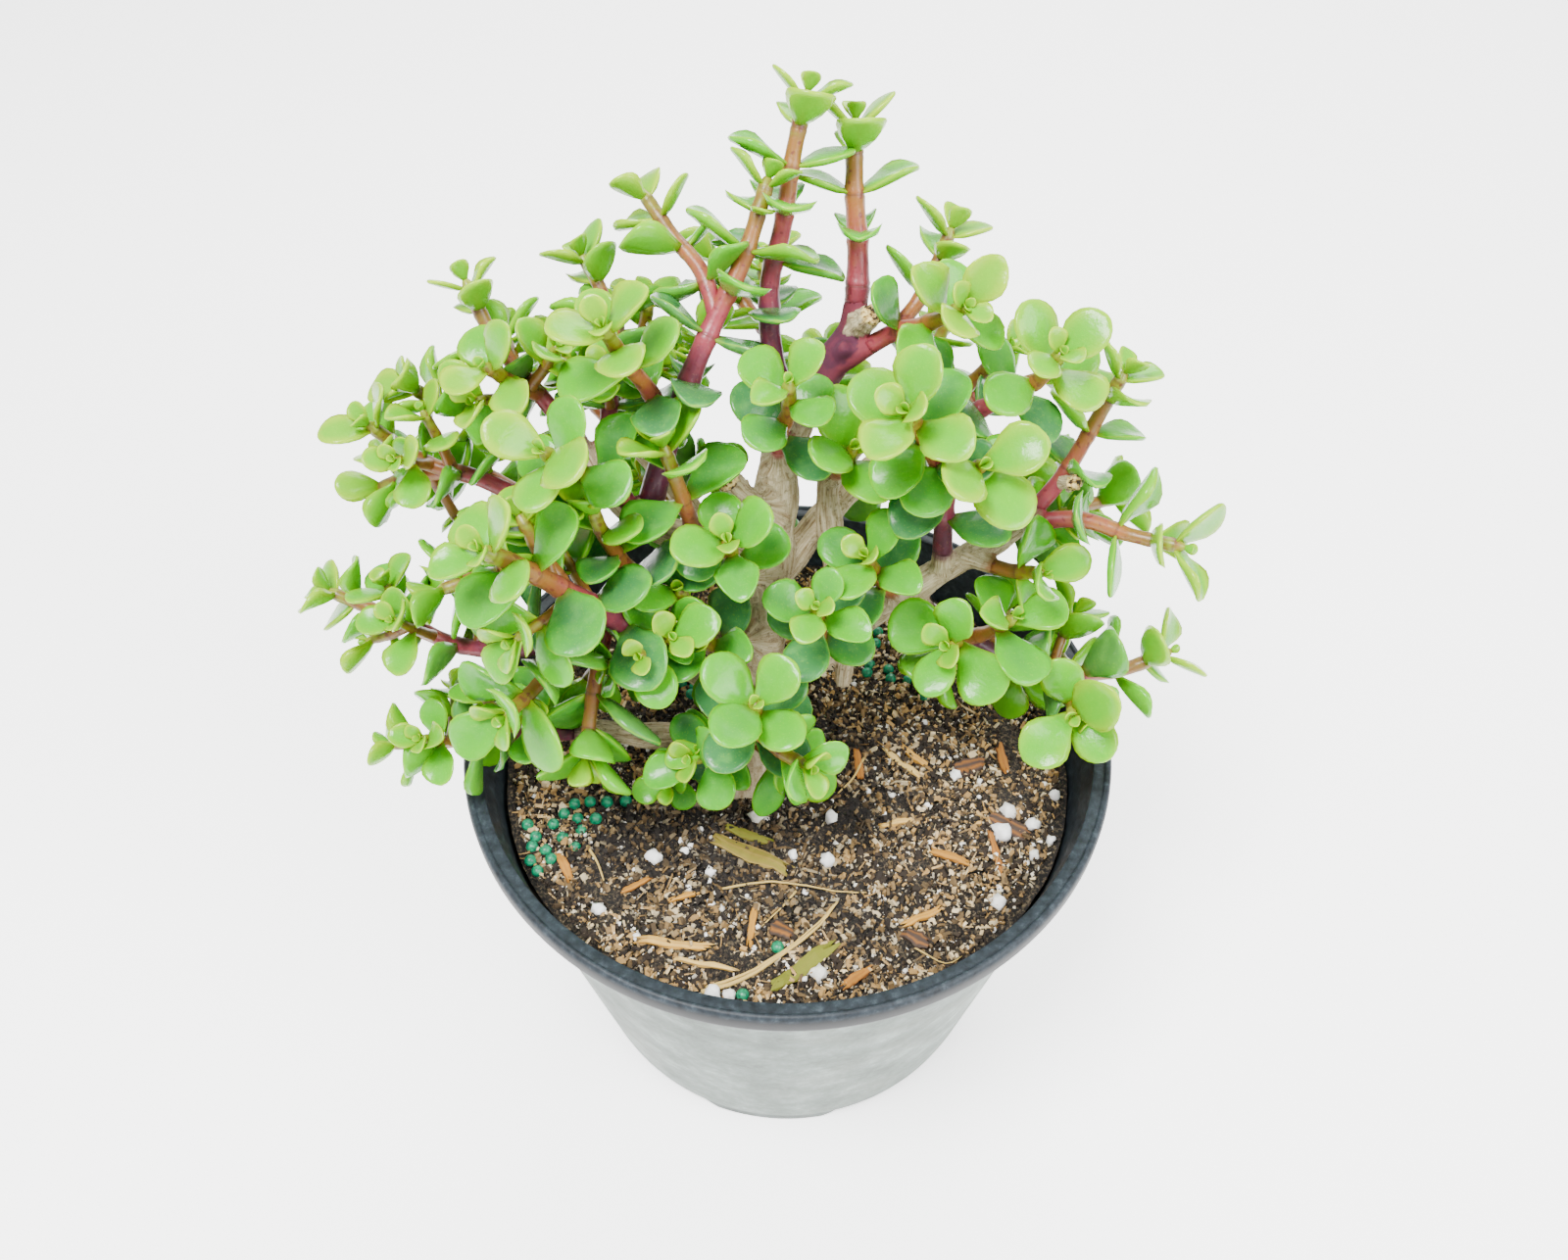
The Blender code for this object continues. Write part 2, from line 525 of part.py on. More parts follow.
def build_soil():
    """The soil's body, its beads and lumps, and the plain hole that the trunk stands in."""
    top_radius = wall_radius(SOIL_TOP) - WALL - GAP - 0.4
    floor_radius = wall_radius(FLOOR_TOP) - WALL - GAP - 0.4
    rings = 6
    sides = 24
    corners = [Vector((0, 0, FLOOR_TOP + GAP)), Vector((0, 0, soil_height(0, 0)))]
    bottom = []
    for index in range(sides):
        turn = math.tau * index / sides
        bottom.append(len(corners))
        corners.append(Vector((floor_radius * math.cos(turn), floor_radius * math.sin(turn),
                               FLOOR_TOP + GAP)))
    rows = []
    for ring in range(1, rings + 1):
        row = []
        for index in range(sides):
            turn = math.tau * (index + 0.5 * (ring % 2)) / sides
            radius = top_radius * ring / rings
            if ring == rings:
                turn = math.tau * index / sides
            x, y = radius * math.cos(turn), radius * math.sin(turn)
            row.append(len(corners))
            corners.append(Vector((x, y, soil_height(x, y))))
        rows.append(row)
    faces = []
    for index in range(sides):
        following = (index + 1) % sides
        faces.append((0, bottom[following], bottom[index]))
        faces.append((bottom[index], bottom[following], rows[-1][following], rows[-1][index]))
        faces.append((1, rows[0][index], rows[0][following]))
        for low, high in zip(rows, rows[1:]):
            faces.append((low[index], high[index], high[following]))
            faces.append((low[index], high[following], low[following]))
    soil = mesh_object("soil", corners, faces)
    surface = BVHTree.FromPolygons(corners, faces)
    lumps = []
    rng = random.Random(7)
    for kind, x, y, radius in soil_lumps():
        form = bmesh.new()
        if kind == "bead":
            bmesh.ops.create_icosphere(form, subdivisions=1, radius=radius * MM)
        else:
            bmesh.ops.create_cube(form, size=radius * 1.5 * MM)
            for corner in form.verts:
                corner.co *= rng.uniform(0.8, 1.2)
        mesh = bpy.data.meshes.new(kind)
        form.to_mesh(mesh)
        form.free()
        lump = bpy.data.objects.new(kind, mesh)
        bpy.context.collection.objects.link(lump)
        spot, *_ = surface.ray_cast(Vector((x, y, POT_HEIGHT)), Vector((0, 0, -1)))
        lump.location = (spot + Vector((0, 0, radius * 0.25))) * MM
        lump.rotation_euler = [rng.uniform(0, 3) for _ in range(3)]
        lumps.append(lump)
    union(soil, lumps)
    return soil


def limb_axes():
    return {name: Axis(points, thick, thin) for name, thick, thin, points in LIMBS}


def even_places(start, end, step):
    count = max(1, round((end - start) / step))
    return [start + (end - start) * index / count for index in range(count + 1)]


def collar_length(axis, limbs):
    """How far a stem runs before it is clear of all wood, so where its collar ends."""
    place = axis.root_radius
    while place < axis.length - SHORTEST_STEM:
        point, _ = axis.at(place)
        needed = axis.radius(place) + COLLAR_CLEAR
        clear = all((point - spot).length > limb.radius(reach) + needed
                    for limb in limbs.values()
                    for spot, reach in zip(limb.path, limb.places))
        if clear:
            return place
        place += 0.5
    return place


def bark_radius(axis, place):
    """A limb's radius, a little uneven along it."""
    return axis.radius(place) * (1 + BARK_UNEVEN * math.sin(5 + 2.1 * place))


def build_wood(collars):
    """The trunk, limbs, stubs and collars, joined to one piece."""
    items = []
    for name, axis in limb_axes().items():
        places = even_places(0, axis.length, WOOD_STEP)
        radii = [bark_radius(axis, place) for place in places]
        sides = TRUNK_SIDES if name == "trunk" else LIMB_SIDES
        items.append(mesh_object(name, *tube(axis, places, radii, sides)))
    for axis, end in collars:
        items.append(mesh_object("collar", *collar_tube(axis, end)))
    wood = items[0]
    wood.name = "trunk"
    union(wood, items[1:])
    give_material(wood, material("wood_bark", (0.26, 0.20, 0.14), 0.85))


class Placed:
    """What has its place already, for the test of what a leaf would touch."""

    def __init__(self):
        self.items = []

    def add(self, owner, corners, faces):
        low = Vector([min(corner[axis] for corner in corners) for axis in range(3)])
        high = Vector([max(corner[axis] for corner in corners) for axis in range(3)])
        self.items.append((owner, low, high, BVHTree.FromPolygons(corners, faces)))

    def touches(self, own_stem, corners, faces):
        low = Vector([min(corner[axis] for corner in corners) for axis in range(3)])
        high = Vector([max(corner[axis] for corner in corners) for axis in range(3)])
        tree = None
        for other, other_low, other_high, other_tree in self.items:
            if other == own_stem:
                continue
            apart = any(low[axis] > other_high[axis] or high[axis] < other_low[axis]
                        for axis in range(3))
            if apart:
                continue
            tree = tree or BVHTree.FromPolygons(corners, faces)
            if tree.overlap(other_tree):
                return True
        return False


def too_low(corners):
    """Whether a leaf would reach into the pot's rim or the soil."""
    for corner in corners:
        radius = math.hypot(corner.x, corner.y)
        floor = 5.0
        if radius < RIM_RADIUS + 1.5:
            floor = POT_HEIGHT + 1.0
        if radius < RIM_RADIUS - LIP_WIDTH - 3.0:
            floor = SOIL_TOP + 4.0
        if corner.z < floor:
            return True
    return False


# A leaf that would touch something tries these: turn round the stem, lean, share of its length
TRIES = ((0, 0, 1.0), (10, 0, 1.0), (-10, 0, 1.0), (0, -14, 1.0), (0, 14, 1.0), (22, 8, 0.95),
         (-22, 8, 0.95), (16, -18, 0.9), (-16, -18, 0.9), (0, 26, 0.85), (34, 0, 0.85),
         (-34, 0, 0.85), (0, 0, 0.75), (24, -20, 0.7), (-24, -20, 0.7), (0, 20, 0.6))


def leaf_pairs(axis, start):
    """Each pair's place on the stem and its number from the tip."""
    pairs = []
    for number, back in enumerate(PAIR_PLACES):
        place = axis.length - back
        if place > start:
            pairs.append((place, number))
    return pairs


def grow_leaves(name, axis, start, tip_length, full_length, roll, placed, rng):
    """The leaves of one stem as (corners, faces), each bent clear of what stands there."""
    leaves = []
    _, direction = axis.at(axis.length)
    side = first_side(direction)
    for place, number in leaf_pairs(axis, start):
        point, direction = axis.at(place)
        side = square_to(direction, side)
        other = direction.cross(side)
        length = tip_length + (full_length - tip_length) * min(number / 2, 1)
        for half in (0, 180):
            turn = roll + 90 * number + half + rng.uniform(-ANGLE_PLAY, ANGLE_PLAY)
            lean = PAIR_ANGLES[number] + rng.uniform(-ANGLE_PLAY, ANGLE_PLAY)
            size = length * rng.uniform(*SIZE_PLAY)
            for more_turn, more_lean, share in TRIES:
                around = math.radians(turn + more_turn)
                away = math.radians(lean + more_lean)
                outward = math.cos(around) * side + math.sin(around) * other
                along = math.sin(away) * outward + math.cos(away) * direction
                face = math.sin(away) * direction - math.cos(away) * outward
                face = square_to(along, face + LIGHT_SEEKING * Vector((0, 0, 1)))
                sink = axis.radius(place) * 0.25
                grown = size * share
                test = leaf(point, along, face, grown, sink, spread=LEAF_ROOM)
                if too_low(test[0]) or placed.touches(name + " stem", *test):
                    continue
                placed.add(name, *test)
                leaves.append(leaf(point, along, face, grown, sink))
                break
    return leaves


def plan_stems(limbs):
    """Each stem as (node, axis, start, row): its collar is wood up to the start.

    A side shoot starts at nothing, on the stem of its own node.
    """
    stems = []
    seen = set()
    for row in STEMS:
        name, thick, thin, *_, points = row
        axis = Axis(points, thick, thin)
        start = 0.0 if name in seen else collar_length(axis, limbs)
        seen.add(name)
        stems.append((name, axis, start, row))
    return stems


def stem_tube(axis, start, wider=0.0):
    places = even_places(start, axis.length - STEM_TIP, STEM_STEP)
    radii = [axis.radius(place) + wider for place in places]
    radii[-1] *= 0.7
    return tube(axis, places, radii, STEM_SIDES, pointed=True)


def collar_tube(axis, end, wider=0.0):
    radii = [axis.radius(place) * COLLAR_SWELL + wider for place in (0.0, end)]
    return tube(axis, (0.0, end), radii, STEM_SIDES)


def build_shoots():
    """All shoots, and the wood with their collars."""
    limbs = limb_axes()
    stems = plan_stems(limbs)
    placed = Placed()
    for axis in limbs.values():
        places = even_places(0, axis.length, 9)
        radii = [axis.radius(place) * WOOD_ROOM + GAP for place in places]
        placed.add("wood", *tube(axis, places, radii, TRUNK_SIDES))
    collars = []
    for _, axis, start, _ in stems:
        if start:
            placed.add("wood", *collar_tube(axis, start, wider=GAP))
            collars.append((axis, start - GAP / 2))
    for name, axis, start, _ in stems:
        root = start + GAP / 2 if start else 0.0
        placed.add(name + " stem", *stem_tube(axis, root, wider=GAP))
    build_wood(collars)
    surface = material("leaf_green", (0.24, 0.42, 0.05), 0.4)
    groups = {}
    for index, (name, axis, start, row) in enumerate(stems):
        _, _, _, tip_length, full_length, roll, _ = row
        root = start + GAP / 2 if start else 0.0
        first = start + FIRST_ON_COLLAR if start else axis.root_radius + FIRST_ON_STEM
        rng = random.Random(FIRST_SEED + index)
        leaves = grow_leaves(name, axis, first, tip_length, full_length, roll, placed, rng)
        groups.setdefault(name, []).extend([stem_tube(axis, root)] + leaves)
    for name, forms in groups.items():
        items = [mesh_object(name, *form) for form in forms]
        items[0].name = name
        union(items[0], items[1:])
        give_material(items[0], surface)


def cut_hole(soil):
    """Cuts the plain hole that the trunk's foot stands in."""
    axis = limb_axes()["trunk"]
    places = [place for place in even_places(0, axis.length, WOOD_STEP) if place < 45]
    radii = [bark_radius(axis, place) + GAP * 1.5 for place in places]
    corners, faces = tube(axis, places, radii, TRUNK_SIDES)
    for corner in corners[:TRUNK_SIDES]:
        corner.z -= GAP * 2
    cut(soil, [mesh_object("hole", corners, faces)])


build_pot()
ground = build_soil()
cut_hole(ground)
give_material(ground, material("potting_soil", (0.05, 0.035, 0.025), 0.95))
build_shoots()
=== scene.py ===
"""The finish of a dwarf jade bonsai in a nursery pot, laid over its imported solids.

Lengths in the tables are millimetres, as a grower would measure them, and MM turns them into
metres. The plant's front faces -Y. A leafy shoot is one piece: fleshy stems and pairs of leaves.
"""

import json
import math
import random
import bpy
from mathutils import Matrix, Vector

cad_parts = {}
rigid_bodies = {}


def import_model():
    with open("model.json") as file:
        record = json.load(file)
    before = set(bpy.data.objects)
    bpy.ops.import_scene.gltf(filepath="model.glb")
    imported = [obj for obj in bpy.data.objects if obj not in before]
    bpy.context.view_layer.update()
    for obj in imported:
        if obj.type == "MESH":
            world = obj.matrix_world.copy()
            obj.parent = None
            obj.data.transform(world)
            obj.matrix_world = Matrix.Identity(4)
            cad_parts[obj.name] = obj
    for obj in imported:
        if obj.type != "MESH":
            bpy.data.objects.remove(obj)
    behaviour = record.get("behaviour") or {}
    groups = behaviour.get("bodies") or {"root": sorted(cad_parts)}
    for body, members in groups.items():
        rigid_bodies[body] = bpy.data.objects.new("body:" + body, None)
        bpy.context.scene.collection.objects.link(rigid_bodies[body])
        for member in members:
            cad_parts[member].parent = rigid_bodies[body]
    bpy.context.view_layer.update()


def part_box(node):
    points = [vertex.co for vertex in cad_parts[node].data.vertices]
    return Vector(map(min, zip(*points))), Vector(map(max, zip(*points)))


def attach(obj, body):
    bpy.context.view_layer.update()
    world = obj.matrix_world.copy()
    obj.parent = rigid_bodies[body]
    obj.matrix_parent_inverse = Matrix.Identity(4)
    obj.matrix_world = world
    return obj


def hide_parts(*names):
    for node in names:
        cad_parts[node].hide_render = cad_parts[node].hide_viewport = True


bl_info = {
    "name": "Dwarf jade bonsai",
    "version": (1, 0, 0),
    "blender": (4, 5, 0),
    "location": "3D View > Sidebar > Bonsai",
    "description": "Makes a dwarf jade bonsai with its soil, its pot and a pale studio",
    "category": "Object",
}

import bpy
import bmesh
from mathutils import Matrix, Vector, noise
from mathutils.bvhtree import BVHTree
from mathutils.kdtree import KDTree

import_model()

MM = 0.001
BODY = "root"

# The pot and the soil, as the solids have them
POT_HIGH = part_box("pot")[1]
RIM_RADIUS = POT_HIGH[0] / MM
POT_HEIGHT = POT_HIGH[2] / MM
LIP_DROP = 6.0
LIP_WIDTH = 4.7
LIP_GROOVE = 0.8
WALL_TOP_RADIUS = 77.5
WALL_FOOT_RADIUS = 58.8
WALL = 1.6
FOOT_HEIGHT = 4.0
FOOT_RADIUS = 58.0
FOOT_WIDTH = 8.0
FOOT_PADS = 4
FOOT_NOTCH = 3.2
PAD_TURN = 36.0            # degrees of the foot ring that one pad takes
FLOOR_TOP = 6.0
HUB_RADIUS = 9.0
SOIL_TOP = 94.0
SOIL_DOME = 2.0
SOIL_ROUGHNESS = 1.6
# The middle of the moist soil round the trunk that also gets painted shade, and how far it reaches
DAMP_AND_SHADE_MIDDLE = (-10, -14, 94)
DAMP_AND_SHADE_REACH = 66
BEAD_RADIUS = 1.65
PERLITE_RADII = (1.3, 2.6)
# Beads and perlite that lie together: kind, middle, how far they spread and how many
LUMP_GROUPS = (
    ("bead", 22, 38, 8, 4), ("bead", 38, 32, 8, 3), ("bead", -48, -17, 8, 4),
    ("bead", -62, -26, 6, 2), ("perlite", 44, -4, 2, 1), ("perlite", 55, -22, 6, 2),
    ("perlite", 8, -64, 2, 1),
)
LUMP_SEED = 41
# The finer beads, as a share of the radius above, and the finer perlite's radii
FINE_BEAD = 0.95
FINE_PERLITE_RADII = (0.9, 2.2)
FINE_LUMP_SEED = 19
LITTER_SEED = 77
LITTER_RADIUS = 70         # of the soil's round surface that the counts of loose bits are for
GAP = 0.3

# Leaves, as shares of a leaf's length
LEAF_WIDTH = 0.78
LEAF_THICK = 0.17
LEAF_THIN_LIMIT = 1.5      # millimetres
LEAF_OUTLINE = ((0.45, 0.95), (0.84, 0.86))
LEAF_MIDDLE = 0.58
LEAF_ROOT = 0.14
LEAF_CUP = 0.10
LEAF_DROOP = 0.07
LEAF_ROOM = 0.45           # millimetres that a leaf keeps from what stands there
LEAF_SINK = 0.25           # how deep a leaf starts in its stem, as a share of the stem's radius
LEAF_FORMS = 5
# How much smoother young skin is than bark, and the bend of light in every surface
YOUNG_SMOOTHNESS = 0.85
REFRACTION = 1.45
# Distances of the leaf pairs from the shoot's tip, and the angle between a leaf and its stem
PAIR_PLACES = (2.6, 7.5, 15.5, 24.5, 34.5, 45.0)
PAIR_ANGLES = (50.0, 64.0, 70.0, 76.0, 82.0, 86.0)
ANGLE_PLAY = 8.0           # degrees that a leaf may differ from the rule
SIZE_PLAY = (0.9, 1.08)
LIGHT_SEEKING = 0.35
FIRST_ON_COLLAR = 3.0
FIRST_ON_STEM = 5.0
# First seeds of the stems' leaves, of the leaves' looks and of the twigs
LEAF_SEED = 100
LOOKS_SEED = 900
TWIG_SEED = 5000
STEM_STEP = 11.0
COLLAR_SWELL = 1.12
STEM_SIDES = 5
STEM_TIP = 0.6             # how far from a stem's end its narrowed last ring is
STEM_TIP_SHARE = 0.7
SHORTEST_STEM = 8.0        # what is left of a stem beyond its collar
COLLAR_CLEAR = 1.2
TRUNK_SIDES = 8
BARK_UNEVEN = 0.07
WOOD_ROOM = 1.08           # share of a limb's radius that leaves keep clear of
# The bark's skin: sides and steps of its rods, the grain's steps, and the fineness of the skin
BARK_SIDES = 16
BARK_STEP = 2.5
GRAIN_STEP = 1.2
BARK_FINENESS = 0.75

# Each limb of the wood: its name, its radius at both ends and the points of its axis
LIMBS = (
    ("trunk", 9.5, 3.6,
     ((-13, -8, 71), (-12, -6, 92), (-9, 0, 114), (-7, 6, 136), (-4, 14, 158), (-2, 22, 177),
      (2, 26, 188), (8, 30, 197), (14, 34, 205))),
    ("right", 5.0, 2.7,
     ((-9, 0, 114), (2, 1, 129), (15, 3, 143), (26, 5, 151), (36, 8, 157), (46, 9, 164),
      (53, 9, 171))),
    ("right_upper", 3.6, 2.6,
     ((15, 3, 143), (12, 11, 152), (10, 18, 162), (10, 22, 174), (18, 22, 186), (27, 20, 192))),
    ("left", 4.8, 2.6,
     ((-9, 1, 120), (-19, 2, 142), (-31, 0, 156), (-42, -4, 158), (-50, -8, 153))),
    ("left_far", 3.2, 2.3,
     ((-31, 0, 156), (-44, 6, 166), (-58, 10, 177))),
    ("left_upper", 4.4, 2.5,
     ((-5, 10, 148), (-18, 10, 163), (-32, 8, 172), (-42, 12, 182), (-47, 17, 190))),
    ("left_low", 4.2, 2.5,
     ((-10, -2, 108), (-21, -8, 115), (-34, -13, 121), (-46, -16, 127))),
    ("front", 3.9, 3.3,
     ((-9, 0, 114), (-15, -4, 126), (-22, -6, 138))),
    ("back", 4.6, 2.6,
     ((-7, 6, 134), (-6, 22, 147), (-4, 40, 158), (-3, 52, 168))),
    ("back_left", 4.0, 2.5,
     ((-6, 8, 141), (-20, 24, 155), (-33, 37, 165))),
    ("back_right", 4.2, 2.5,
     ((-5, 11, 149), (12, 28, 160), (27, 42, 166), (40, 50, 172))),
    ("broken_stub", 2.7, 2.2,
     ((15, 3, 143), (14, 0, 135), (13.5, -1.5, 127))),
    ("dried_stub", 1.9, 1.7,
     ((9, 31, 198), (13, 28, 206))),
)

# Dried stubs where a shoot was cut off: radius at both ends and axis
CUT_STUBS = (
    (2.4, 2.0,
     ((34, 6, 186), (34.5, 2, 191), (35, -1, 195))),
    (2.8, 2.5,
     ((15, 34, 206), (16.5, 30, 211), (18, 27, 215))),
    (2.9, 2.6,
     ((-4, 16, 166), (-9, 12, 176), (-14, 10, 184))),
    (1.9, 1.6,
     ((61, 12, 181), (62, 8, 184), (62, 5, 187))),
)

# Each stem: its node, its radius at the root and the tip, the length of its tip leaves and of its
# grown leaves, the turn of its first pair in degrees, and the points of its axis
STEMS = (
    ("shoot_top_left", 2.7, 1.5, 9.5, 14.5, 8,
     ((2, 26, 188), (-3, 28, 201), (-4, 33, 217), (-1, 38, 230), (1, 44, 242), (4, 50, 253))),
    ("shoot_top_right", 2.8, 1.6, 10, 14.5, 4,
     ((14, 34, 205), (15, 37, 213), (15, 42, 222), (14, 47, 233), (14, 54, 245))),
    ("shoot_tall", 3.1, 1.5, 10.5, 15, 10,
     ((-32, 8, 172), (-29, 8, 184), (-25, 12, 196), (-20, 17, 208), (-15, 23, 217), (-9, 30, 227),
      (-4, 39, 240))),
    ("shoot_tall", 1.9, 1.3, 10, 13.5, 55,
     ((-15, 23, 217), (-18, 30, 223), (-24, 37, 227), (-31, 44, 234))),
    ("shoot_tall", 2.0, 1.4, 12, 14.5, 20,
     ((-25, 12, 196), (-29, 11, 207), (-33, 8, 217), (-36, 4, 228))),
    ("shoot_left_upper", 2.0, 1.3, 10, 13.5, 30,
     ((-42, 12, 182), (-39, 22, 196), (-38, 31, 207), (-41, 38, 214), (-45, 42, 220))),
    ("shoot_left_high", 2.1, 1.3, 9.5, 14, 15,
     ((-47, 17, 190), (-54, 20, 199), (-60, 24, 205), (-65, 29, 211), (-69, 34, 219))),
    ("shoot_left_high", 1.8, 1.3, 11, 12.5, 40,
     ((-54, 20, 199), (-58, 15, 206), (-62, 9, 215))),
    ("shoot_rosette_left", 2.2, 1.5, 14.5, 14.5, -25,
     ((-32, 8, 172), (-37, 3, 186), (-43, -5, 199), (-48, -13, 211))),
    ("shoot_left_far", 2.0, 1.4, 11, 13.5, 20,
     ((-58, 10, 177), (-69, 12, 182), (-79, 14, 184), (-86, 15, 189), (-91, 14, 196))),
    ("shoot_left_far", 1.8, 1.3, 11, 13.5, 70,
     ((-75, 13, 183), (-86, 17, 178), (-95, 18, 173))),
    ("shoot_left_middle", 2.1, 1.4, 11, 14.5, 60,
     ((-42, 12, 182), (-56, 14, 190), (-66, 17, 194), (-76, 20, 197), (-82, 20, 201))),
    ("shoot_left_low", 2.4, 1.4, 10.5, 14, 10,
     ((-50, -8, 153), (-62, -8, 147), (-78, -3, 143), (-90, 2, 145), (-99, 5, 147),
      (-109, 7, 151))),
    ("shoot_front_left", 3.3, 1.7, 13, 17.5, 35,
     ((-22, -6, 138), (-29, -9, 150), (-39, -13, 164), (-47, -17, 176), (-54, -22, 188),
      (-60, -26, 197))),
    ("shoot_front_left", 2.0, 1.3, 10, 13.5, 30,
     ((-29, -9, 150), (-31, -17, 156), (-32, -24, 163))),
    ("shoot_front_left", 2.0, 1.3, 13, 15.5, 10,
     ((-47, -17, 176), (-52, -13, 184), (-56, -9, 191))),
    ("shoot_left_drooping", 2.1, 1.4, 15.5, 17.5, 50,
     ((-42, -4, 158), (-50, -14, 153), (-57, -23, 150), (-62, -31, 151))),
    ("shoot_left_hanging", 1.9, 1.4, 14.5, 18.5, 15,
     ((-40, -4, 158), (-43, -15, 150), (-45, -23, 141), (-46, -30, 134))),
    ("shoot_rim_left", 2.0, 1.3, 9, 13.5, 25,
     ((-46, -16, 127), (-60, -19, 129), (-74, -18, 126), (-86, -16, 122), (-97, -15, 120))),
    ("shoot_small_low", 1.6, 1.2, 9, 9, 20,
     ((-23, -9, 112), (-26, -17, 113), (-29, -26, 119))),
    ("shoot_rosette_middle", 2.2, 1.5, 13, 14.5, 20,
     ((-5, 11, 150), (-10, 3, 160), (-12, -3, 171), (-13, -9, 183))),
    ("shoot_front_upper", 2.0, 1.4, 10.5, 14, 65,
     ((5, 1, 133), (7, -5, 147), (7, -11, 159), (6, -17, 171))),
    ("shoot_front", 2.6, 1.5, 14, 16, 45,
     ((-10, -2, 106), (-9, -14, 121), (-8, -24, 139), (-7, -33, 158))),
    ("shoot_rosette_top", 2.1, 1.4, 11.5, 13.5, 50,
     ((-2, 22, 177), (-2, 15, 191), (0, 9, 203), (0, 5, 214))),
    ("shoot_middle_right", 2.0, 1.4, 14.5, 16, 25,
     ((10, 22, 174), (12, 13, 184), (14, 7, 195))),
    ("shoot_middle_left", 2.0, 1.4, 13, 16, 70,
     ((-7, 6, 136), (-15, -6, 146), (-20, -13, 156))),
    ("shoot_right_front", 2.4, 1.5, 14.5, 15.5, 60,
     ((36, 8, 157), (35, 7, 172), (34, 5, 187), (28, 0, 203), (23, -7, 216))),
    ("shoot_right_front", 2.0, 1.4, 14.5, 15.5, 30,
     ((34, 5, 187), (37, -1, 195), (39, -9, 204))),
    ("shoot_crown_right", 2.3, 1.5, 13, 14, 55,
     ((7, 30, 196), (15, 29, 203), (22, 28, 209), (29, 22, 216), (35, 12, 227))),
    ("shoot_crown_right", 1.8, 1.3, 10.5, 12.5, 15,
     ((22, 28, 209), (28, 34, 213), (32, 39, 219), (35, 43, 226))),
    ("shoot_right_upper", 2.2, 1.4, 12, 14.5, 35,
     ((27, 20, 192), (38, 21, 192), (47, 19, 199), (52, 12, 209), (54, 5, 221))),
    ("shoot_right_high", 2.1, 1.4, 10.5, 14, 15,
     ((53, 9, 171), (61, 13, 181), (66, 17, 190), (70, 21, 197), (73, 23, 203))),
    ("shoot_right_far", 2.1, 1.4, 12.5, 15, 45,
     ((53, 9, 171), (65, 6, 175), (76, 2, 174), (87, -3, 175))),
    ("shoot_right_low", 2.8, 1.5, 11.5, 15.5, 20,
     ((28, 5, 151), (42, -1, 143), (61, -4, 134), (81, 1, 129), (94, 4, 133))),
    ("shoot_right_low", 2.2, 1.4, 15, 15.5, 40,
     ((61, -4, 134), (67, -12, 134), (65, -22, 140))),
    ("shoot_right_low", 1.9, 1.3, 13, 19, 10,
     ((42, -1, 143), (47, -5, 150), (51, -9, 159))),
    ("shoot_inner_left", 2.1, 1.4, 13, 15.5, 35,
     ((-18, 10, 163), (-21, 3, 176), (-23, 0, 189), (-26, 1, 201))),
    ("shoot_inner_front_left", 2.0, 1.4, 13, 15.5, 60,
     ((-31, 0, 156), (-35, -4, 169), (-39, -7, 182), (-41, -7, 191))),
    ("shoot_inner_front", 2.0, 1.4, 13, 15.5, 15,
     ((-19, 2, 142), (-22, -4, 155), (-24, -9, 168))),
    ("shoot_inner_right", 2.0, 1.4, 13, 15.5, 50,
     ((26, 5, 151), (21, -1, 163), (17, -5, 174))),
    ("shoot_right_middle", 2.0, 1.4, 13, 15, 20,
     ((42, 8, 161), (50, 2, 163), (57, -4, 168))),
    ("shoot_left_side", 2.0, 1.4, 13, 15.5, 20,
     ((-44, 6, 166), (-58, 3, 166), (-70, 0, 163), (-80, -2, 160))),
    ("shoot_front", 1.9, 1.4, 12.5, 14, 30,
     ((-9, -14, 121), (-16, -22, 126), (-22, -29, 133))),
    ("shoot_front", 1.9, 1.4, 12.5, 14, 0,
     ((-8, -24, 139), (-2, -31, 139), (4, -37, 141))),
    ("shoot_back_middle", 2.3, 1.5, 11, 14.5, 20,
     ((-3, 52, 168), (-4, 60, 185), (-6, 66, 203))),
    ("shoot_back_middle", 1.9, 1.4, 12, 13.5, 60,
     ((-4, 60, 185), (-12, 70, 190), (-19, 80, 196))),
    ("shoot_back_low", 2.2, 1.4, 12, 15.5, 30,
     ((-3, 52, 168), (6, 68, 164), (12, 84, 160))),
    ("shoot_back_left", 2.2, 1.4, 11, 14.5, 40,
     ((-33, 37, 165), (-46, 48, 172), (-57, 57, 182))),
    ("shoot_back_left_low", 2.1, 1.4, 13, 15.5, 10,
     ((-20, 24, 155), (-30, 44, 150), (-38, 62, 145))),
    ("shoot_back_left_high", 2.2, 1.4, 11, 14, 50,
     ((-33, 37, 165), (-35, 44, 184), (-32, 50, 203))),
    ("shoot_back_right", 2.2, 1.4, 11, 14.5, 15,
     ((27, 42, 166), (33, 53, 178), (39, 60, 192))),
    ("shoot_back_right_far", 2.2, 1.4, 12, 14.5, 60,
     ((40, 50, 172), (54, 53, 175), (69, 53, 181))),
    ("shoot_back_right_low", 2.1, 1.4, 13, 15.5, 35,
     ((12, 28, 160), (24, 48, 153), (34, 66, 147))),
    ("shoot_back_right_high", 2.2, 1.4, 11, 14, 25,
     ((27, 42, 166), (39, 38, 184), (50, 36, 200))),
    ("shoot_side_left", 2.0, 1.4, 12, 14.5, 45,
     ((-50, 8, 170), (-66, 24, 169), (-82, 36, 167))),
    ("shoot_side_right", 2.0, 1.4, 12, 14.5, 10,
     ((46, 9, 164), (64, 24, 160), (82, 34, 156))),
    ("shoot_low_back", 2.1, 1.4, 12, 15.5, 65,
     ((-6, 16, 142), (-10, 40, 133), (-14, 62, 126))),
)


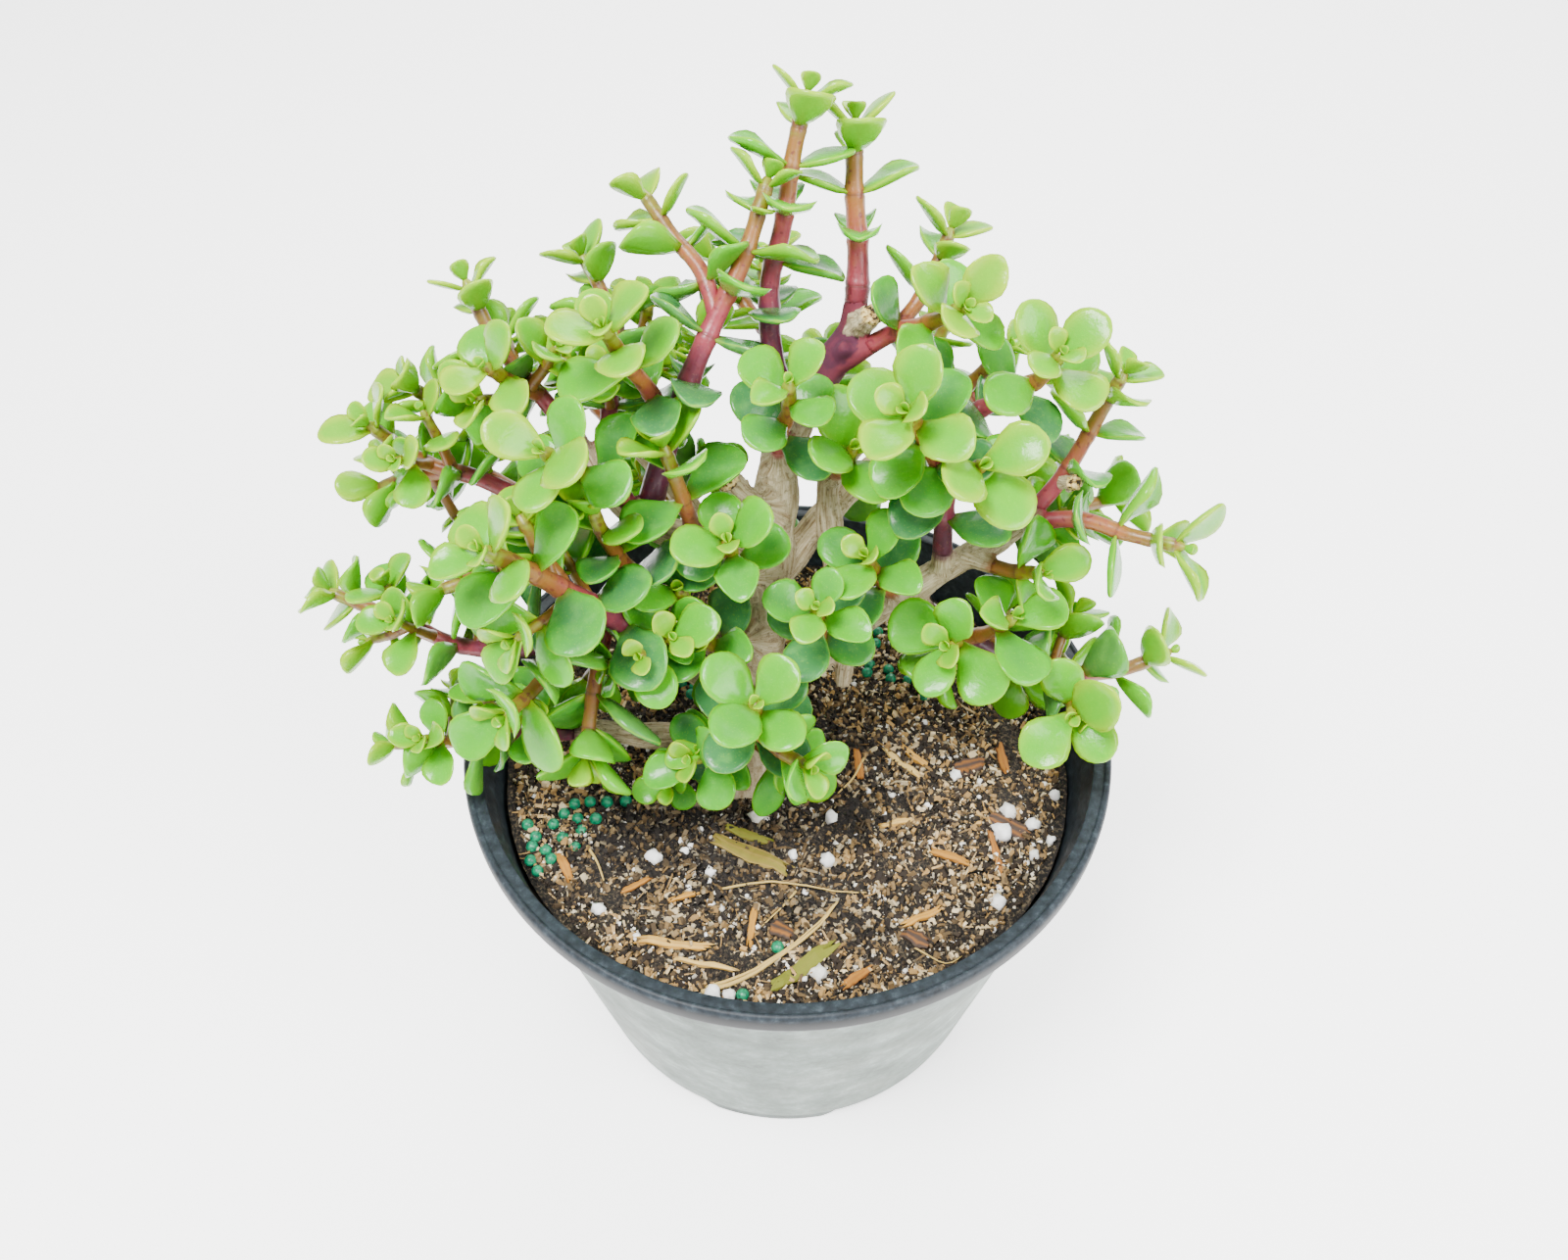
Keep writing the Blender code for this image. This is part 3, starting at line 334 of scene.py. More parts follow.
def smooth_path(points, step):
    """Points about step apart on a smooth curve through the given points."""
    knots = [Vector(point) for point in points]
    knots = [2 * knots[0] - knots[1]] + knots + [2 * knots[-1] - knots[-2]]
    path = []
    for before, start, end, after in zip(knots, knots[1:], knots[2:], knots[3:]):
        count = max(1, round((end - start).length / step))
        for index in range(count):
            t = index / count
            path.append(0.5 * (2 * start + (end - before) * t
                               + (2 * before - 5 * start + 4 * end - after) * t * t
                               + (3 * start - before - 3 * end + after) * t ** 3))
    path.append(knots[-2])
    return path


class Axis:
    """A stem's axis as a fine path that can be read at any distance from its start."""

    def __init__(self, points, root_radius, tip_radius):
        self.path = smooth_path(points, 1.0)
        self.places = [0.0]
        for a, b in zip(self.path, self.path[1:]):
            self.places.append(self.places[-1] + (b - a).length)
        self.length = self.places[-1]
        self.root_radius = root_radius
        self.tip_radius = tip_radius

    def at(self, place):
        """The point and the direction at this distance."""
        place = min(max(place, 0.0), self.length)
        index = 1
        while index < len(self.places) - 1 and self.places[index] < place:
            index += 1
        a, b = self.path[index - 1], self.path[index]
        share = (place - self.places[index - 1]) / (self.places[index] - self.places[index - 1])
        return a.lerp(b, share), (b - a).normalized()

    def radius(self, place):
        share = min(max(place / self.length, 0.0), 1.0)
        return self.root_radius + (self.tip_radius - self.root_radius) * share


def square_to(direction, guide):
    """The guide's part square to the direction, one unit long."""
    side = guide - direction * guide.dot(direction)
    return side.normalized()


def first_side(direction):
    """A side direction that shoots share: the object's right, or its back on sideways shoots."""
    if abs(direction.x) < 0.8:
        return square_to(direction, Vector((1, 0, 0)))
    return square_to(direction, Vector((0, 1, 0)))


def ring_faces(rings, sides, first=0):
    """The quads between rings of corners that follow each other, numbered from first."""
    faces = []
    for ring in range(rings - 1):
        for index in range(sides):
            a = first + ring * sides + index
            b = first + ring * sides + (index + 1) % sides
            faces.append((a, b, b + sides, a + sides))
    return faces


def tube(axis, places, radii, sides, pointed=False):
    """A closed tube with flat ends, or with a pointed tip."""
    corners = []
    side = None
    for place, radius in zip(places, radii):
        point, direction = axis.at(place)
        side = square_to(direction, side) if side else first_side(direction)
        other = direction.cross(side)
        for index in range(sides):
            turn = math.tau * index / sides
            corners.append(point + radius * (math.cos(turn) * side + math.sin(turn) * other))
    faces = ring_faces(len(places), sides)
    faces.append(tuple(range(sides - 1, -1, -1)))
    last = (len(places) - 1) * sides
    if pointed:
        point, direction = axis.at(places[-1])
        corners.append(point + direction * radii[-1])
        for index in range(sides):
            faces.append((last + index, last + (index + 1) % sides, len(corners) - 1))
    else:
        faces.append(tuple(range(last, last + sides)))
    return corners, faces


def wall_radius(height):
    """The pot's outer wall at this height."""
    share = (height - FOOT_HEIGHT) / (POT_HEIGHT - LIP_DROP - FOOT_HEIGHT)
    return WALL_FOOT_RADIUS + (WALL_TOP_RADIUS - WALL_FOOT_RADIUS) * share


def soil_height(x, y):
    """The soil's rough, slightly domed surface."""
    radius = math.hypot(x, y)
    dome = SOIL_DOME * (1 - (radius / WALL_TOP_RADIUS) ** 2)
    rough = noise.noise(Vector((x / 13, y / 13, 4.0)))
    rough += 0.6 * noise.noise(Vector((x / 5, y / 5, 9)))
    return SOIL_TOP - SOIL_DOME / 2 + dome + SOIL_ROUGHNESS * rough


def soil_lumps():
    """The solid's beads and perlite as (kind, x, y, radius), each clear of the others."""
    rng = random.Random(LUMP_SEED)
    lumps = []
    for kind, x, y, spread, count in LUMP_GROUPS:
        for _ in range(count):
            turn = rng.uniform(0, math.tau)
            reach = spread * math.sqrt(rng.random())
            radius = BEAD_RADIUS if kind == "bead" else rng.uniform(*PERLITE_RADII)
            lumps.append((kind, x + reach * math.cos(turn), y + reach * math.sin(turn), radius))
    inside = wall_radius(SOIL_TOP) - WALL - 3.5
    kept = []
    for kind, x, y, radius in lumps:
        clear = all(math.hypot(x - a, y - b) > radius + c + 0.5 for _, a, b, c in kept)
        if clear and math.hypot(x, y) + radius < inside:
            kept.append((kind, x, y, radius))
    return kept


def more_lumps():
    """The finer beads and perlite that lie between the solid's own."""
    rng = random.Random(FINE_LUMP_SEED)
    kept = list(soil_lumps())
    found = []
    for kind, x, y, spread, count in MORE_LUMPS:
        for _ in range(count * 6):
            if sum(1 for lump in found if lump[4] == (x, y)) >= count:
                break
            turn = rng.uniform(0, math.tau)
            reach = spread * math.sqrt(rng.random())
            if kind == "bead":
                radius = BEAD_RADIUS * FINE_BEAD
            else:
                radius = rng.uniform(*FINE_PERLITE_RADII)
            spot = (x + reach * math.cos(turn), y + reach * math.sin(turn))
            inside = math.hypot(*spot) + radius < wall_radius(SOIL_TOP) - WALL - 1.0
            if inside and all(math.dist(spot, lump[1:3]) > radius + lump[3] for lump in kept):
                kept.append((kind, *spot, radius))
                found.append((kind, *spot, radius, (x, y)))
    return [lump[:4] for lump in found]


def limb_axes():
    """The axis of each limb, by its name."""
    return {name: Axis(points, thick, thin) for name, thick, thin, points in LIMBS}


def even_places(start, end, step):
    """Distances from the start to the end, about a step apart."""
    count = max(1, round((end - start) / step))
    return [start + (end - start) * index / count for index in range(count + 1)]


def collar_length(axis, limbs):
    """How far a stem runs before it is clear of all wood, so where its collar ends."""
    place = axis.root_radius
    while place < axis.length - SHORTEST_STEM:
        point, _ = axis.at(place)
        needed = axis.radius(place) + COLLAR_CLEAR
        clear = all((point - spot).length > limb.radius(reach) + needed
                    for limb in limbs.values()
                    for spot, reach in zip(limb.path, limb.places))
        if clear:
            return place
        place += 0.5
    return place


def bark_radius(axis, place):
    """A limb's radius, a little uneven along it."""
    return axis.radius(place) * (1 + BARK_UNEVEN * math.sin(5 + 2.1 * place))


def leaf_room(root, along, face, length, sink):
    """The room that a fleshy leaf needs, as the form of the leaf grown by LEAF_ROOM all round.

    along is its direction and face is the way that its upper side looks. It starts sink under the
    stem's skin.
    """
    width = LEAF_WIDTH * length / 2
    thick = max(LEAF_THICK * length, LEAF_THIN_LIMIT) / 2 + LEAF_ROOM
    across = face.cross(along)

    def place(share, side, height):
        cup = LEAF_CUP * length * abs(side / width) ** 2 - LEAF_DROOP * length * share * share
        return root + along * (sink + share * length) + across * side + face * (height + cup)

    right = [(share, half * width + LEAF_ROOM) for share, half in LEAF_OUTLINE]
    left = [(share, -side) for share, side in right[::-1]]
    rim = [(LEAF_ROOT, 0.0)] + right + [(1.0 + LEAF_ROOM / length, 0.0)] + left
    corners = [place(share, side, 0.0) for share, side in rim]
    corners.append(place(LEAF_MIDDLE, 0.0, thick))
    corners.append(place(LEAF_MIDDLE, 0.0, -thick))
    top, bottom = len(rim), len(rim) + 1
    faces = []
    for index in range(len(rim)):
        following = (index + 1) % len(rim)
        faces.append((index, following, top))
        faces.append((following, index, bottom))
    return corners, faces


def box_round(corners):
    """The lowest and the highest corner of the box round these corners."""
    return [Vector([limit(corner[axis] for corner in corners) for axis in range(3)])
            for limit in (min, max)]


class Placed:
    """What has its place already, for the test of what a leaf would touch."""

    def __init__(self):
        self.items = []

    def add(self, owner, corners, faces):
        self.items.append((owner, *box_round(corners), BVHTree.FromPolygons(corners, faces)))

    def touches(self, own_stem, corners, faces):
        low, high = box_round(corners)
        tree = None
        for other, other_low, other_high, other_tree in self.items:
            if other == own_stem:
                continue
            apart = any(low[axis] > other_high[axis] or high[axis] < other_low[axis]
                        for axis in range(3))
            if apart:
                continue
            tree = tree or BVHTree.FromPolygons(corners, faces)
            if tree.overlap(other_tree):
                return True
        return False


def too_low(corners):
    """Whether a leaf would reach into the pot's rim or the soil."""
    for corner in corners:
        radius = math.hypot(corner.x, corner.y)
        floor = 5.0
        if radius < RIM_RADIUS + 1.5:
            floor = POT_HEIGHT + 1.0
        if radius < RIM_RADIUS - LIP_WIDTH - 3.0:
            floor = SOIL_TOP + 4.0
        if corner.z < floor:
            return True
    return False


# How far inside the crown's skin a twig's tip stays, as a share of the crown's half width
TWIG_DEPTH = 0.03
# Millimetres between the joints that bear twigs, and on the crown's crowded left
TWIG_STEPS = (7.0, 10.0)
TWIG_STEPS_LEFT = (4.5, 7.0)
# Where the crown's crowded left begins, and how far from a stem's tip the first twigs stand
CROWDED_LEFT = -22
FIRST_TWIG = 17
TWIG_LENGTHS = (8, 19)
TWIG_RADII = (1.35, 1.0)
TWIG_ROOM = 1.7
FEWEST_LEAVES = 3
# The crown's middle and how far it reaches along X, Y and Z
CROWN_MIDDLE = (-5, 5, 138)
CROWN_REACH = (108, 92, 92)
# The half folded leaf pairs that close a tip: share of the tip leaves' length, and lean in
# degrees. Most tips have two such pairs, and the others a small one.
BUD_PAIRS = ((0.62, 37), (0.25, 15))
SMALL_BUD_PAIR = ((0.27, 16),)
TWO_PAIRS_SHARE = 0.75
# Millimetres from a tip after which a leaf, and a stem's skin, looks old
LEAF_AGE_SPAN = 36
STEM_AGE_SPAN = 48

# A leaf that would touch something tries these: turn round the stem, lean, share of its length
TRIES = ((0, 0, 1.0), (10, 0, 1.0), (-10, 0, 1.0), (0, -14, 1.0), (0, 14, 1.0), (22, 8, 0.95),
         (-22, 8, 0.95), (16, -18, 0.9), (-16, -18, 0.9), (0, 26, 0.85), (34, 0, 0.85),
         (-34, 0, 0.85), (0, 0, 0.75), (24, -20, 0.7), (-24, -20, 0.7), (0, 20, 0.6))


def leaf_pairs(axis, start):
    """Each pair's place on the stem and its number from the tip."""
    return [(axis.length - back, number) for number, back in enumerate(PAIR_PLACES)
            if axis.length - back > start]


def aimed(direction, side, turn, lean):
    """Where a leaf points and where its upper side looks.

    turn goes round the stem and lean away from it, both in degrees.
    """
    around = math.radians(turn)
    away = math.radians(lean)
    outward = math.cos(around) * side + math.sin(around) * direction.cross(side)
    along = math.sin(away) * outward + math.cos(away) * direction
    return along, math.sin(away) * direction - math.cos(away) * outward


def grow_leaves(name, axis, start, tip_length, full_length, roll, placed, rng):
    """The leaves of one stem, each bent clear of what stands there, or left out."""
    leaves = []
    side = first_side(axis.at(axis.length)[1])
    for place, number in leaf_pairs(axis, start):
        point, direction = axis.at(place)
        side = square_to(direction, side)
        length = tip_length + (full_length - tip_length) * min(number / 2, 1)
        sink = axis.radius(place) * LEAF_SINK
        for half in (0, 180):
            turn = roll + 90 * number + half + rng.uniform(-ANGLE_PLAY, ANGLE_PLAY)
            lean = PAIR_ANGLES[number] + rng.uniform(-ANGLE_PLAY, ANGLE_PLAY)
            size = length * rng.uniform(*SIZE_PLAY)
            for more_turn, more_lean, share in TRIES:
                along, face = aimed(direction, side, turn + more_turn, lean + more_lean)
                face = square_to(along, face + LIGHT_SEEKING * Vector((0, 0, 1)))
                room = leaf_room(point, along, face, size * share, sink)
                if too_low(room[0]) or placed.touches(name + " stem", *room):
                    continue
                placed.add(name, *room)
                leaves.append({"root": point + along * sink, "along": along, "face": face,
                               "length": size * share, "back": axis.length - place})
                break
    return leaves


def plan_stems(limbs):
    """Each stem as (node, axis, start, row): its collar is wood up to the start."""
    stems = []
    seen = set()
    for row in STEMS:
        name, thick, thin, *_, points = row
        axis = Axis(points, thick, thin)
        start = 0.0 if name in seen else collar_length(axis, limbs)
        seen.add(name)
        stems.append((name, axis, start, row))
    return stems


def stem_tube(axis, start, wider=0.0):
    """A stem as the solid has it, from its collar to its pointed tip."""
    places = even_places(start, axis.length - STEM_TIP, STEM_STEP)
    radii = [axis.radius(place) + wider for place in places]
    radii[-1] *= STEM_TIP_SHARE
    return tube(axis, places, radii, STEM_SIDES, pointed=True)


def collar_tube(axis, end, wider=0.0):
    """The swollen wood that a stem grows from."""
    radii = [axis.radius(place) * COLLAR_SWELL + wider for place in (0.0, end)]
    return tube(axis, (0.0, end), radii, STEM_SIDES)


def linear(value):
    """A colour from its sRGB hex value, as linear red, green, blue and alpha."""
    channels = [int(value[place:place + 2], 16) / 255 for place in (1, 3, 5)]
    return tuple(c / 12.92 if c <= 0.04045 else ((c + 0.055) / 1.055) ** 2.4
                 for c in channels) + (1.0,)


def add_node(tree, kind, inputs=None, out=0, stops=(), **settings):
    """Adds a node with its settings and links, and returns the output asked for.

    An input is a value, a hex colour, the socket that feeds it, or a list of such sockets. stops
    are the (place, hex colour) stops of a colour ramp.
    """
    item = tree.nodes.new(kind)
    for key, value in settings.items():
        setattr(item, key, value)
    for key, value in (inputs or {}).items():
        socket = item.inputs[key]
        for source in value if isinstance(value, list) else [value]:
            if isinstance(source, bpy.types.NodeSocket):
                tree.links.new(source, socket)
            elif isinstance(source, str) and source.startswith("#"):
                socket.default_value = linear(source)
            else:
                socket.default_value = source
    if stops:
        points = item.color_ramp.elements
        while len(points) < len(stops):
            points.new(1.0)
        for point, (place, value) in zip(points, stops):
            point.position = place
            point.color = linear(value)
    return item.outputs[out] if item.outputs else None


def new_material(name):
    """A material that holds no nodes yet, and its tree."""
    surface = bpy.data.materials.new(name)
    surface.use_nodes = True
    surface.node_tree.nodes.clear()
    return surface, surface.node_tree


def shade(tree, inputs, height=0.0, strength=0.0, depth=0.0):
    """Ends a material in its shader, with relief that is depth millimetres deep."""
    inputs = {"IOR": REFRACTION, **inputs}
    if strength:
        inputs["Normal"] = add_node(tree, "ShaderNodeBump", {
            "Height": height, "Strength": strength, "Distance": depth * MM})
    shader = add_node(tree, "ShaderNodeBsdfPrincipled", inputs)
    add_node(tree, "ShaderNodeOutputMaterial", {"Surface": shader})


def products(tree, *pairs, plus=0.0):
    """The sum of plus and of what each pair makes when multiplied."""
    for first, second in pairs:
        plus = add_node(tree, "ShaderNodeMath", {0: first, 1: second, 2: plus},
                        operation="MULTIPLY_ADD")
    return plus


def coat(tree, skin, colour, mask, low=0.0, high=1.0, most=1.0):
    """A colour over the skin: none of it where the mask is low, up to most where it is high."""
    share = add_node(tree, "ShaderNodeMapRange", {"Value": mask, "From Min": low,
                                                  "From Max": high, "To Max": most})
    return add_node(tree, "ShaderNodeMix", {0: share, 6: skin, 7: colour}, out=2,
                    data_type="RGBA")


def speckle(tree, per_mm, detail=2.0, roughness=0.5):
    """Noise in object space with this many cells to a millimetre."""
    place = add_node(tree, "ShaderNodeTexCoord", out="Object")
    return add_node(tree, "ShaderNodeTexNoise",
                    {"Vector": place, "Scale": per_mm / MM, "Detail": detail,
                     "Roughness": roughness})


def leaf_flesh(colours):
    """Jade leaf: water-filled flesh under a waxy skin, lime when young, deeper green with age and
    with painted shade deep in the crown.
    """
    surface, tree = new_material("jade_leaf_waxy_skin")
    tone, age, rim, upper, along = (
        add_node(tree, "ShaderNodeAttribute", out="Fac", attribute_name=name)
        for name in ("tone", "age", "rim", "upper", "along"))
    cloud = speckle(tree, 0.16, 3.0)
    edge = products(tree, (rim, rim))
    age = products(tree, (tone, 0.30), (cloud, 0.34), (edge, -0.24), (age, 1.0), plus=-0.21)
    youth = add_node(tree, "ShaderNodeMath", {0: products(tree, (age, -1.5), plus=0.75), 1: 0.0},
                     operation="MAXIMUM")
    # The age that this ramp reads holds painted shade too: leaves deep inside the crown come out
    # darker
    skin = add_node(tree, "ShaderNodeValToRGB", {"Fac": age}, stops=(
        (0.0, colours.leaf_young), (0.14, "#60a402"), (0.32, colours.leaf_grown),
        (0.56, "#469e08"), (0.78, "#3f9022"), (1.0, colours.leaf_old)))
    skin = coat(tree, skin, colours.leaf_margin, rim, 0.45, 1.0, youth)
    skin = coat(tree, skin, "#9ccc14", speckle(tree, 2.4, 1.0), 0.62, 0.70, 0.14)
    skin = coat(tree, skin, colours.leaf_margin, rim, 0.93, 1.0, 0.45)
    wax = products(tree, (age, 0.34))
    skin = coat(tree, skin, "#6cb04c", speckle(tree, 0.30, 4.0), 0.50, 0.75, wax)
    skin = coat(tree, skin, "#6ca814", upper, 1.0, 0.0, 0.25)
    skin = coat(tree, skin, "#a4b410", along, 0.22, 0.0, 0.6)
    shade(tree, {"Base Color": skin, "Roughness": 0.22, "Specular IOR Level": 0.32,
                 "Subsurface Weight": 0.10, "Subsurface Radius": (0.4, 1.0, 0.1),
                 "Subsurface Scale": 1.5 * MM},
          products(tree, (cloud, 2.0), plus=speckle(tree, 1.3, 2.0)), 0.35, 0.16)
    return surface


def stem_colour(tree, colours, age):
    """Green-tan at the tip, then orange-brown, pink-red and the maroon of the oldest stems."""
    age = products(tree, (speckle(tree, 0.4, 3.0), 0.45), (age, 1.0), plus=-0.225)
    return add_node(tree, "ShaderNodeValToRGB", {"Fac": age}, stops=(
        (0.0, "#7f8a1c"), (0.14, colours.stem_young), (0.36, "#8c5626"),
        (0.62, colours.stem_grown), (1.0, colours.stem_old)))


def stem_skin(colours):
    """Succulent stem: smooth taut skin with dark rings at its joints and maroon pores."""
    surface, tree = new_material("jade_stem_skin")
    age, ring = (add_node(tree, "ShaderNodeAttribute", out="Fac", attribute_name=name)
                 for name in ("age", "ring"))
    skin = coat(tree, stem_colour(tree, colours, age), "#4d2620", ring, most=0.6)
    skin = coat(tree, skin, "#5c1526", speckle(tree, 0.75, 0.0), 0.70, 0.74, 0.6)
    skin = coat(tree, skin, "#c28a68", speckle(tree, 1.6, 3.0), 0.60, 0.80, 0.25)
    shade(tree, {"Base Color": skin, "Roughness": 0.36, "Subsurface Weight": 0.06,
                 "Subsurface Radius": (1.0, 0.4, 0.3), "Subsurface Scale": 1.2 * MM},
          products(tree, (ring, 1.0), plus=speckle(tree, 1.2, 3.0)), 0.5, 0.15)
    return surface


def bark(colours):
    """Bark of an old succulent: dry cream-grey skin that splits along the limb in brown fibres."""
    surface, tree = new_material("dry_bark")
    age, cut, young = (add_node(tree, "ShaderNodeAttribute", out="Fac", attribute_name=name)
                       for name in ("age", "cut", "young"))
    grain = add_node(tree, "ShaderNodeAttribute", out="Vector", attribute_name="grain")
    fibre = add_node(tree, "ShaderNodeTexNoise",
                     {"Vector": grain, "Scale": 1.0, "Detail": 6.0, "Roughness": 0.68})
    skin = add_node(tree, "ShaderNodeValToRGB", {"Fac": fibre}, stops=(
        (0.28, "#4a3a2a"), (0.37, colours.bark_dark), (0.50, colours.bark), (0.68, "#d8cba8")))
    skin = coat(tree, skin, "#8a7250", speckle(tree, 0.11, 4.0, 0.6), 0.50, 0.66, 0.162)
    skin = coat(tree, skin, "#463626", speckle(tree, 0.8, 5.0, 0.7), 0.44, 0.36, 0.55)
    face = add_node(tree, "ShaderNodeValToRGB", {"Fac": speckle(tree, 1.1, 3.0)}, stops=(
        (0.42, "#2e2014"), (0.47, "#b08a4a"), (0.60, "#ecd08c")))
    skin = coat(tree, skin, face, cut)
    skin = coat(tree, skin, stem_colour(tree, colours, age), young)
    rough = products(tree, (young, -YOUNG_SMOOTHNESS), plus=1.0)
    shade(tree, {"Base Color": skin, "Roughness": 0.85}, products(tree, (fibre, rough)), 0.6, 0.5)
    return surface


def pot_plastic(colours):
    """Moulded polypropylene: dark slate rim and inside, a pale cloudy bloom on the outer wall."""
    surface, tree = new_material("moulded_polypropylene")
    bloom, lip = (add_node(tree, "ShaderNodeAttribute", out="Fac", attribute_name=name)
                  for name in ("bloom", "lip"))
    scuff = speckle(tree, 0.45, 6.0, 0.7)
    wall = add_node(tree, "ShaderNodeValToRGB", {"Fac": speckle(tree, 0.075, 8.0, 0.72)}, stops=(
        (0.34, "#414c45"), (0.45, "#56625a"), (0.54, colours.pot_wall), (0.66, "#84918a")))
    wall = coat(tree, wall, "#98a39b", scuff, 0.50, 0.75, 0.254)
    wall = coat(tree, wall, "#857f73", speckle(tree, 0.035, 5.0, 0.6), 0.50, 0.68, 0.144)
    rim = add_node(tree, "ShaderNodeValToRGB", {"Fac": scuff}, stops=(
        (0.34, "#15191d"), (0.56, colours.pot_rim), (0.80, "#454f56")))
    skin = coat(tree, rim, wall, bloom)
    # Painted shade: the lip's outer side is coated near black, darker than the rim's own slate
    skin = coat(tree, skin, "#090b0e", lip)
    shade(tree, {"Base Color": skin, "Roughness": 0.50, "Specular IOR Level": 0.30}, scuff, 0.18,
          0.15)
    return surface


def dryness_and_light(tree):
    """Low round the trunk, for moist mix and painted shade, and high where it has dried near the
    wall.
    """
    place = add_node(tree, "ShaderNodeTexCoord", out="Object")
    reach = add_node(tree, "ShaderNodeVectorMath",
                     {0: place, 1: tuple(value * MM for value in DAMP_AND_SHADE_MIDDLE)},
                     out="Value", operation="DISTANCE")
    return products(tree, (reach, 1 / (DAMP_AND_SHADE_REACH * MM)), (speckle(tree, 0.05, 3.0), 1.6),
                    plus=-0.8)


def potting_mix(colours):
    """Peat: matt, near black round the trunk for moist mix and painted shade, pale brown where it
    has dried.
    """
    surface, tree = new_material("peat_mix")
    crumb = speckle(tree, 1.1, 6.0, 0.75)
    dry = add_node(tree, "ShaderNodeValToRGB", {"Fac": crumb}, stops=(
        (0.36, "#080706"), (0.50, "#1e1914"), (0.62, colours.soil), (0.72, "#a08c66"),
        (0.82, "#e0d2ae")))
    # The near-black ramp round the trunk stands for moist peat and for painted shade under the
    # crown
    wet_and_shaded = add_node(tree, "ShaderNodeValToRGB", {"Fac": crumb}, stops=(
        (0.38, "#0d0c0c"), (0.56, "#2a2420"), (0.70, "#5d4f40")))
    skin = coat(tree, wet_and_shaded, dry, dryness_and_light(tree), 0.25, 0.75)
    shade(tree, {"Base Color": skin, "Roughness": 0.93}, crumb, 1.0, 1.2)
    return surface


def crumbs(name, roughness, stops, per_mm, damp_and_shade=0.0):
    """Loose bits, each coloured by the tone that it carries, and darker round the trunk for moist
    mix and painted shade.
    """
    surface, tree = new_material(name)
    tone = add_node(tree, "ShaderNodeAttribute", out="Fac", attribute_name="tone")
    skin = add_node(tree, "ShaderNodeValToRGB", {"Fac": tone}, stops=stops)
    fibre = speckle(tree, per_mm, 4.0, 0.6)
    skin = coat(tree, skin, "#3a2a1c", fibre, most=0.35)
    if damp_and_shade:
        # Painted shade and moist mix: bits near the trunk turn near black
        skin = coat(tree, skin, "#14110f", dryness_and_light(tree), 0.75, 0.25, damp_and_shade)
    shade(tree, {"Base Color": skin, "Roughness": roughness}, fibre, 0.6, 0.3)
    return surface


def bead_resin(colours):
    """Resin coat of a fertiliser bead: smooth teal with slight clouds."""
    surface, tree = new_material("resin_coated_bead")
    skin = add_node(tree, "ShaderNodeValToRGB", {"Fac": speckle(tree, 1.1, 2.0)}, stops=(
        (0.3, "#005038"), (0.55, colours.bead), (0.8, "#069a68")))
    shade(tree, {"Base Color": skin, "Roughness": 0.38})
    return surface


def white_paper():
    """Matt white paper, lit a little from within so that it stays pale."""
    surface, tree = new_material("matt_white_paper")
    shade(tree, {"Base Color": "#fbfbfb", "Roughness": 0.9, "Emission Color": "#ffffff",
                 "Emission Strength": 1.5})
    return surface


def plain_mesh(name, corners, faces, smooth=True):
    """A mesh from corners in millimetres."""
    mesh = bpy.data.meshes.new(name)
    mesh.from_pydata([tuple(value * MM for value in corner) for corner in corners], [], faces)
    if smooth and faces:
        mesh.shade_smooth()
    return mesh


def carry(mesh, name, values, kind="FLOAT"):
    """Writes numbers, or vectors, on the mesh's points."""
    item = mesh.attributes.new(name, kind, "POINT")
    if kind == "FLOAT":
        item.data.foreach_set("value", values)
    else:
        item.data.foreach_set("vector", [part for value in values for part in value])


def linked(name, data):
    """An object in the scene for a mesh, a light or a camera."""
    item = bpy.data.objects.new(name, data)
    bpy.context.scene.collection.objects.link(item)
    return item


def made(name, form):
    """A mesh from a bmesh, which is freed."""
    mesh = bpy.data.meshes.new(name)
    form.to_mesh(mesh)
    form.free()
    return mesh


def baked(item, name):
    """A plain object from the evaluated one, which is removed."""
    depsgraph = bpy.context.evaluated_depsgraph_get()
    mesh = bpy.data.meshes.new_from_object(item.evaluated_get(depsgraph))
    mesh.name = name
    bpy.data.objects.remove(item, do_unlink=True)
    return linked(name, mesh)


def finish_piece(item, slot, *nodes):
    """Puts a finished piece on the pot's body and in the place of its solids."""
    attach(item, BODY)
    if nodes:
        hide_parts(*nodes)
    return item


def new_tree(name, *inputs):
    """An empty geometry tree with named inputs beside its geometry, and the inputs' sockets."""
    tree = bpy.data.node_groups.new(name, "GeometryNodeTree")
    for way in ("INPUT", "OUTPUT"):
        tree.interface.new_socket("Geometry", in_out=way, socket_type="NodeSocketGeometry")
    for label, kind in inputs:
        tree.interface.new_socket(label, in_out="INPUT", socket_type="NodeSocket" + kind)
    return tree, tree.nodes.new("NodeGroupInput").outputs


def run_tree(item, tree, values):
    """Adds the tree as a modifier and sets its inputs by their identifiers."""
    modifier = item.modifiers.new(tree.name, "NODES")
    modifier.node_group = tree
    names = {socket.name: socket.identifier for socket in tree.interface.items_tree
             if socket.in_out == "INPUT"}
    for label, value in values.items():
        modifier[names[label]] = value


def half_width(share, widest, taper, blunt):
    """A leaf's half width at this share of its length, as a share of its widest."""
    if share > widest:
        return math.sqrt(max(0.0, 1 - ((share - widest) / (1 - widest)) ** blunt))
    return 0.15 + 0.85 * math.sin(math.pi / 2 * share / widest) ** taper


